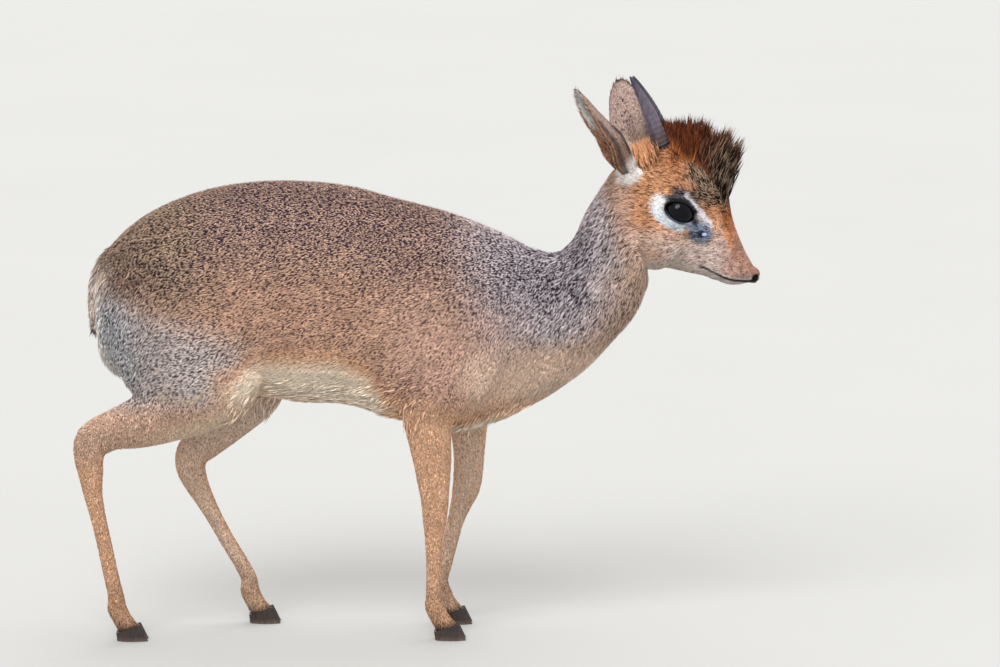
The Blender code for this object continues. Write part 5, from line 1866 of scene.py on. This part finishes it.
def short_coat(skin, fur, rng):
    """Lying hair over the whole skin, cleared from the eyes, mouth, nostrils and horns."""

    def weight(q):
        h = head_space(q)
        head = head_weight(q, h, -8, 8)
        face_front = head * ramp(h[:, 0], 238, 262)
        leg = ramp(q[:, 2], 215, 175) * (1 - head)
        return 1.0 + 0.9 * leg + 2.4 * head + 2.6 * face_front

    count = amount(SHORT_TUFTS)
    p, n, _, _ = scatter(skin, count, weight, rng)
    q = design(p)
    d = lie(q, n)
    d = unit(d + np.cross(n, d) * rng.normal(0, 0.11, (count, 1)))
    length, width, lift = hair_size(q, rng)
    tips = tip_places(p, n, d, length, lift)
    keep = clear_of_features(q, n, design(tips))
    keep &= (q[:, 2] > LOWEST_ROOT) & (tips[:, 2] > BARE_FLOOR * MM)
    p, n, q, d, length, width, lift = (a[keep] for a in (p, n, q, d, length, width, lift))
    labels = piece_labels(q)
    for word in sorted(set(labels)):
        on = labels == word
        size = (length[on], width[on], width[on] * 0.34, lift[on], 0.0, rng.normal(0, 0.06, on.sum()))
        slot = COAT_SLOTS[word.split("_")[0]]
        coat_piece(f"fur_{word}", slot, fur, p[on], n[on], size, rng, d=d[on])


def long_hair(skin, fur, rng):
    """Longer bent hair at the chest, belly edge, elbows, seat, tail and behind the legs."""

    def weight(q):
        x, y, z = q.T
        wide = np.abs(y)
        belly = ramp(x, -150, -110) * ramp(x, 30, -10) * ramp(z, 228, 208) * ramp(z, 178, 192)
        apron = ramp(z, 205, 190) * ramp(z, 166, 176) * ramp(wide, 26, 16)
        apron = apron * ramp(x, 25, 50) * ramp(x, 118, 92)
        seat = ramp(x, -236, -244) * ramp(z, 322, 300) * ramp(z, 208, 224) * ramp(wide, 38, 20)
        tail = ramp(x, -247, -251) * ramp(wide, 12, 8) * ramp(z, 250, 256) * ramp(z, 300, 285)
        return belly * 0.5 + apron * 2.2 + seat * 1.2 + tail * 3.0

    count = amount(LONG_TUFTS)
    p, n, _, _ = scatter(skin, count, weight, rng)
    length = rng.uniform(*LONG_HAIR, count)
    lift = rng.uniform(0.22, 0.42, count)
    width = rng.uniform(1.0, 1.6, count)
    size = (length, width, width * 0.4, lift, lift * 0.55, rng.normal(0, 0.12, count))
    coat_piece("fur_long", "coat_back", fur, p, n, size, rng, steps=BENT)


def ear_base_hair(skin, fur, rng):
    """Upright hair between each horn and the ear behind it."""

    def weight(q):
        return ramp(nearest(head_space(q), EAR_HORN_GAP), 15.0, 5.0)

    count = amount(EAR_BASE_TUFTS)
    p, n, _, _ = scatter(skin, count, weight, rng)
    d = np.array((-0.45, 0.0, 0.85)) + rng.normal(0, 0.22, (count, 3))
    d = unit(d @ ROTATION.T + n * 0.25)
    length = rng.uniform(*EAR_BASE_HAIR, count)
    width = rng.uniform(0.8, 1.3, count)
    c = Paint(count, (0.86, 0.62, 0.46), (0.48, 0.31, 0.21), 0.38)
    size = (length, width, width * 0.4, 0.0, 0.0, 0.0)
    coat_piece("fur_ear_base", "coat_head", fur, p, n, size, rng, steps=BENT, paint=c, d=d)


VIEW_WIDTH = 0.83
CAMERA_DISTANCE = 6.0
CAMERA_PITCH = math.radians(10)
VIEW_CENTRE = (0.083, 0.2486)
FLOOR_SIZE = 60.0
FLOOR_COLOUR = (0.44, 0.44, 0.43, 1)
SKY_COLOUR = (1.0, 0.99, 0.98, 1)
# Place, width of its disc in degrees, and strength of each lamp.
LAMPS = {"key": ((-0.5, -1.6, 1.7), 35, 2.6), "top": ((0.6, 0.8, 2.2), 50, 0.9)}


def staged(name, data, place, way):
    """Lamp or camera at a place, looking a given way."""
    obj = linked(name, data)
    obj.location = place
    obj.rotation_euler = way.to_track_quat("-Z", "Y").to_euler()
    return obj


def stage():
    """Pale floor, soft studio light and the camera."""
    bpy.ops.mesh.primitive_plane_add(size=FLOOR_SIZE, location=(0, 0, 0))
    floor = bpy.context.object
    floor.name = "floor"
    look = Look("floor")
    base = look.node("RGB")
    base.outputs[0].default_value = FLOOR_COLOUR
    look.feed("Base Color", look.mottled(base.outputs[0], (3, 3, 0.98, 1.0)))
    look.feed("Roughness", 0.75)
    floor.data.materials.append(look.mat)
    world = bpy.data.worlds.new("studio")
    bpy.context.scene.world = world
    world.use_nodes = True
    sky = world.node_tree.nodes["Background"]
    sky.inputs["Color"].default_value = SKY_COLOUR
    sky.inputs["Strength"].default_value = 1.0
    bpy.context.scene.view_settings.view_transform = "Standard"
    for name, (place, disc, strength) in LAMPS.items():
        light = bpy.data.lights.new(name, "SUN")
        light.angle = math.radians(disc)
        light.energy = strength
        staged(name, light, place, -Vector(place))
    camera = bpy.data.cameras.new("camera")
    camera.lens = camera.sensor_width * CAMERA_DISTANCE / VIEW_WIDTH
    camera.clip_end = FLOOR_SIZE
    ahead, height = VIEW_CENTRE
    target = Vector((OFFSET.x + ahead, OFFSET.y, height / math.cos(CAMERA_PITCH)))
    way = Vector((0, math.cos(CAMERA_PITCH), -math.sin(CAMERA_PITCH)))
    bpy.context.scene.camera = staged("camera", camera, target - way * CAMERA_DISTANCE, way)


def main():
    rng = np.random.default_rng(SEED)
    fur = fur_material("short_fur")
    skin = make_skin()
    q = design(points_of(skin))
    c = markings(q, vertex_normals(skin))
    colour_layer(skin.data, "coat", c.mean(0.55))
    finish_piece(skin, skin_material("skin"), "coat_back",
                 "torso", "neck", "head", "tail", *(f"leg_{name}" for name in LIMBS))
    short_coat(skin, fur, rng)
    long_hair(skin, fur, rng)
    ear_base_hair(skin, fur, rng)
    crest(skin, fur, rng)
    ball, wet = eye_material(), wet_material()
    horn_look = keratin_material("horn_keratin", 420, (1, 1, 0.25), 0.30, 0.50, 0.5)
    hoof_look = keratin_material("hoof_keratin", 500, (1, 1, 0.3), 0.28, 0.46, 0.4)
    leaf = skin_material("ear_skin", streak=800.0, strength=0.3)
    for word, side in SIDES.items():
        eye_ball(word, side, ball)
        rim, spine = lid_rim(word, side, wet)
        lashes(word, side, spine, fur, rng)
        gland_glint_bead(word, side, wet)
        fine_horn(word, side, horn_look)
        fine_ear(word, side, leaf, fur, rng)
    for name, (limb, side) in LIMBS.items():
        fine_hoof(name, limb, side, hoof_look)
    stage()


main()
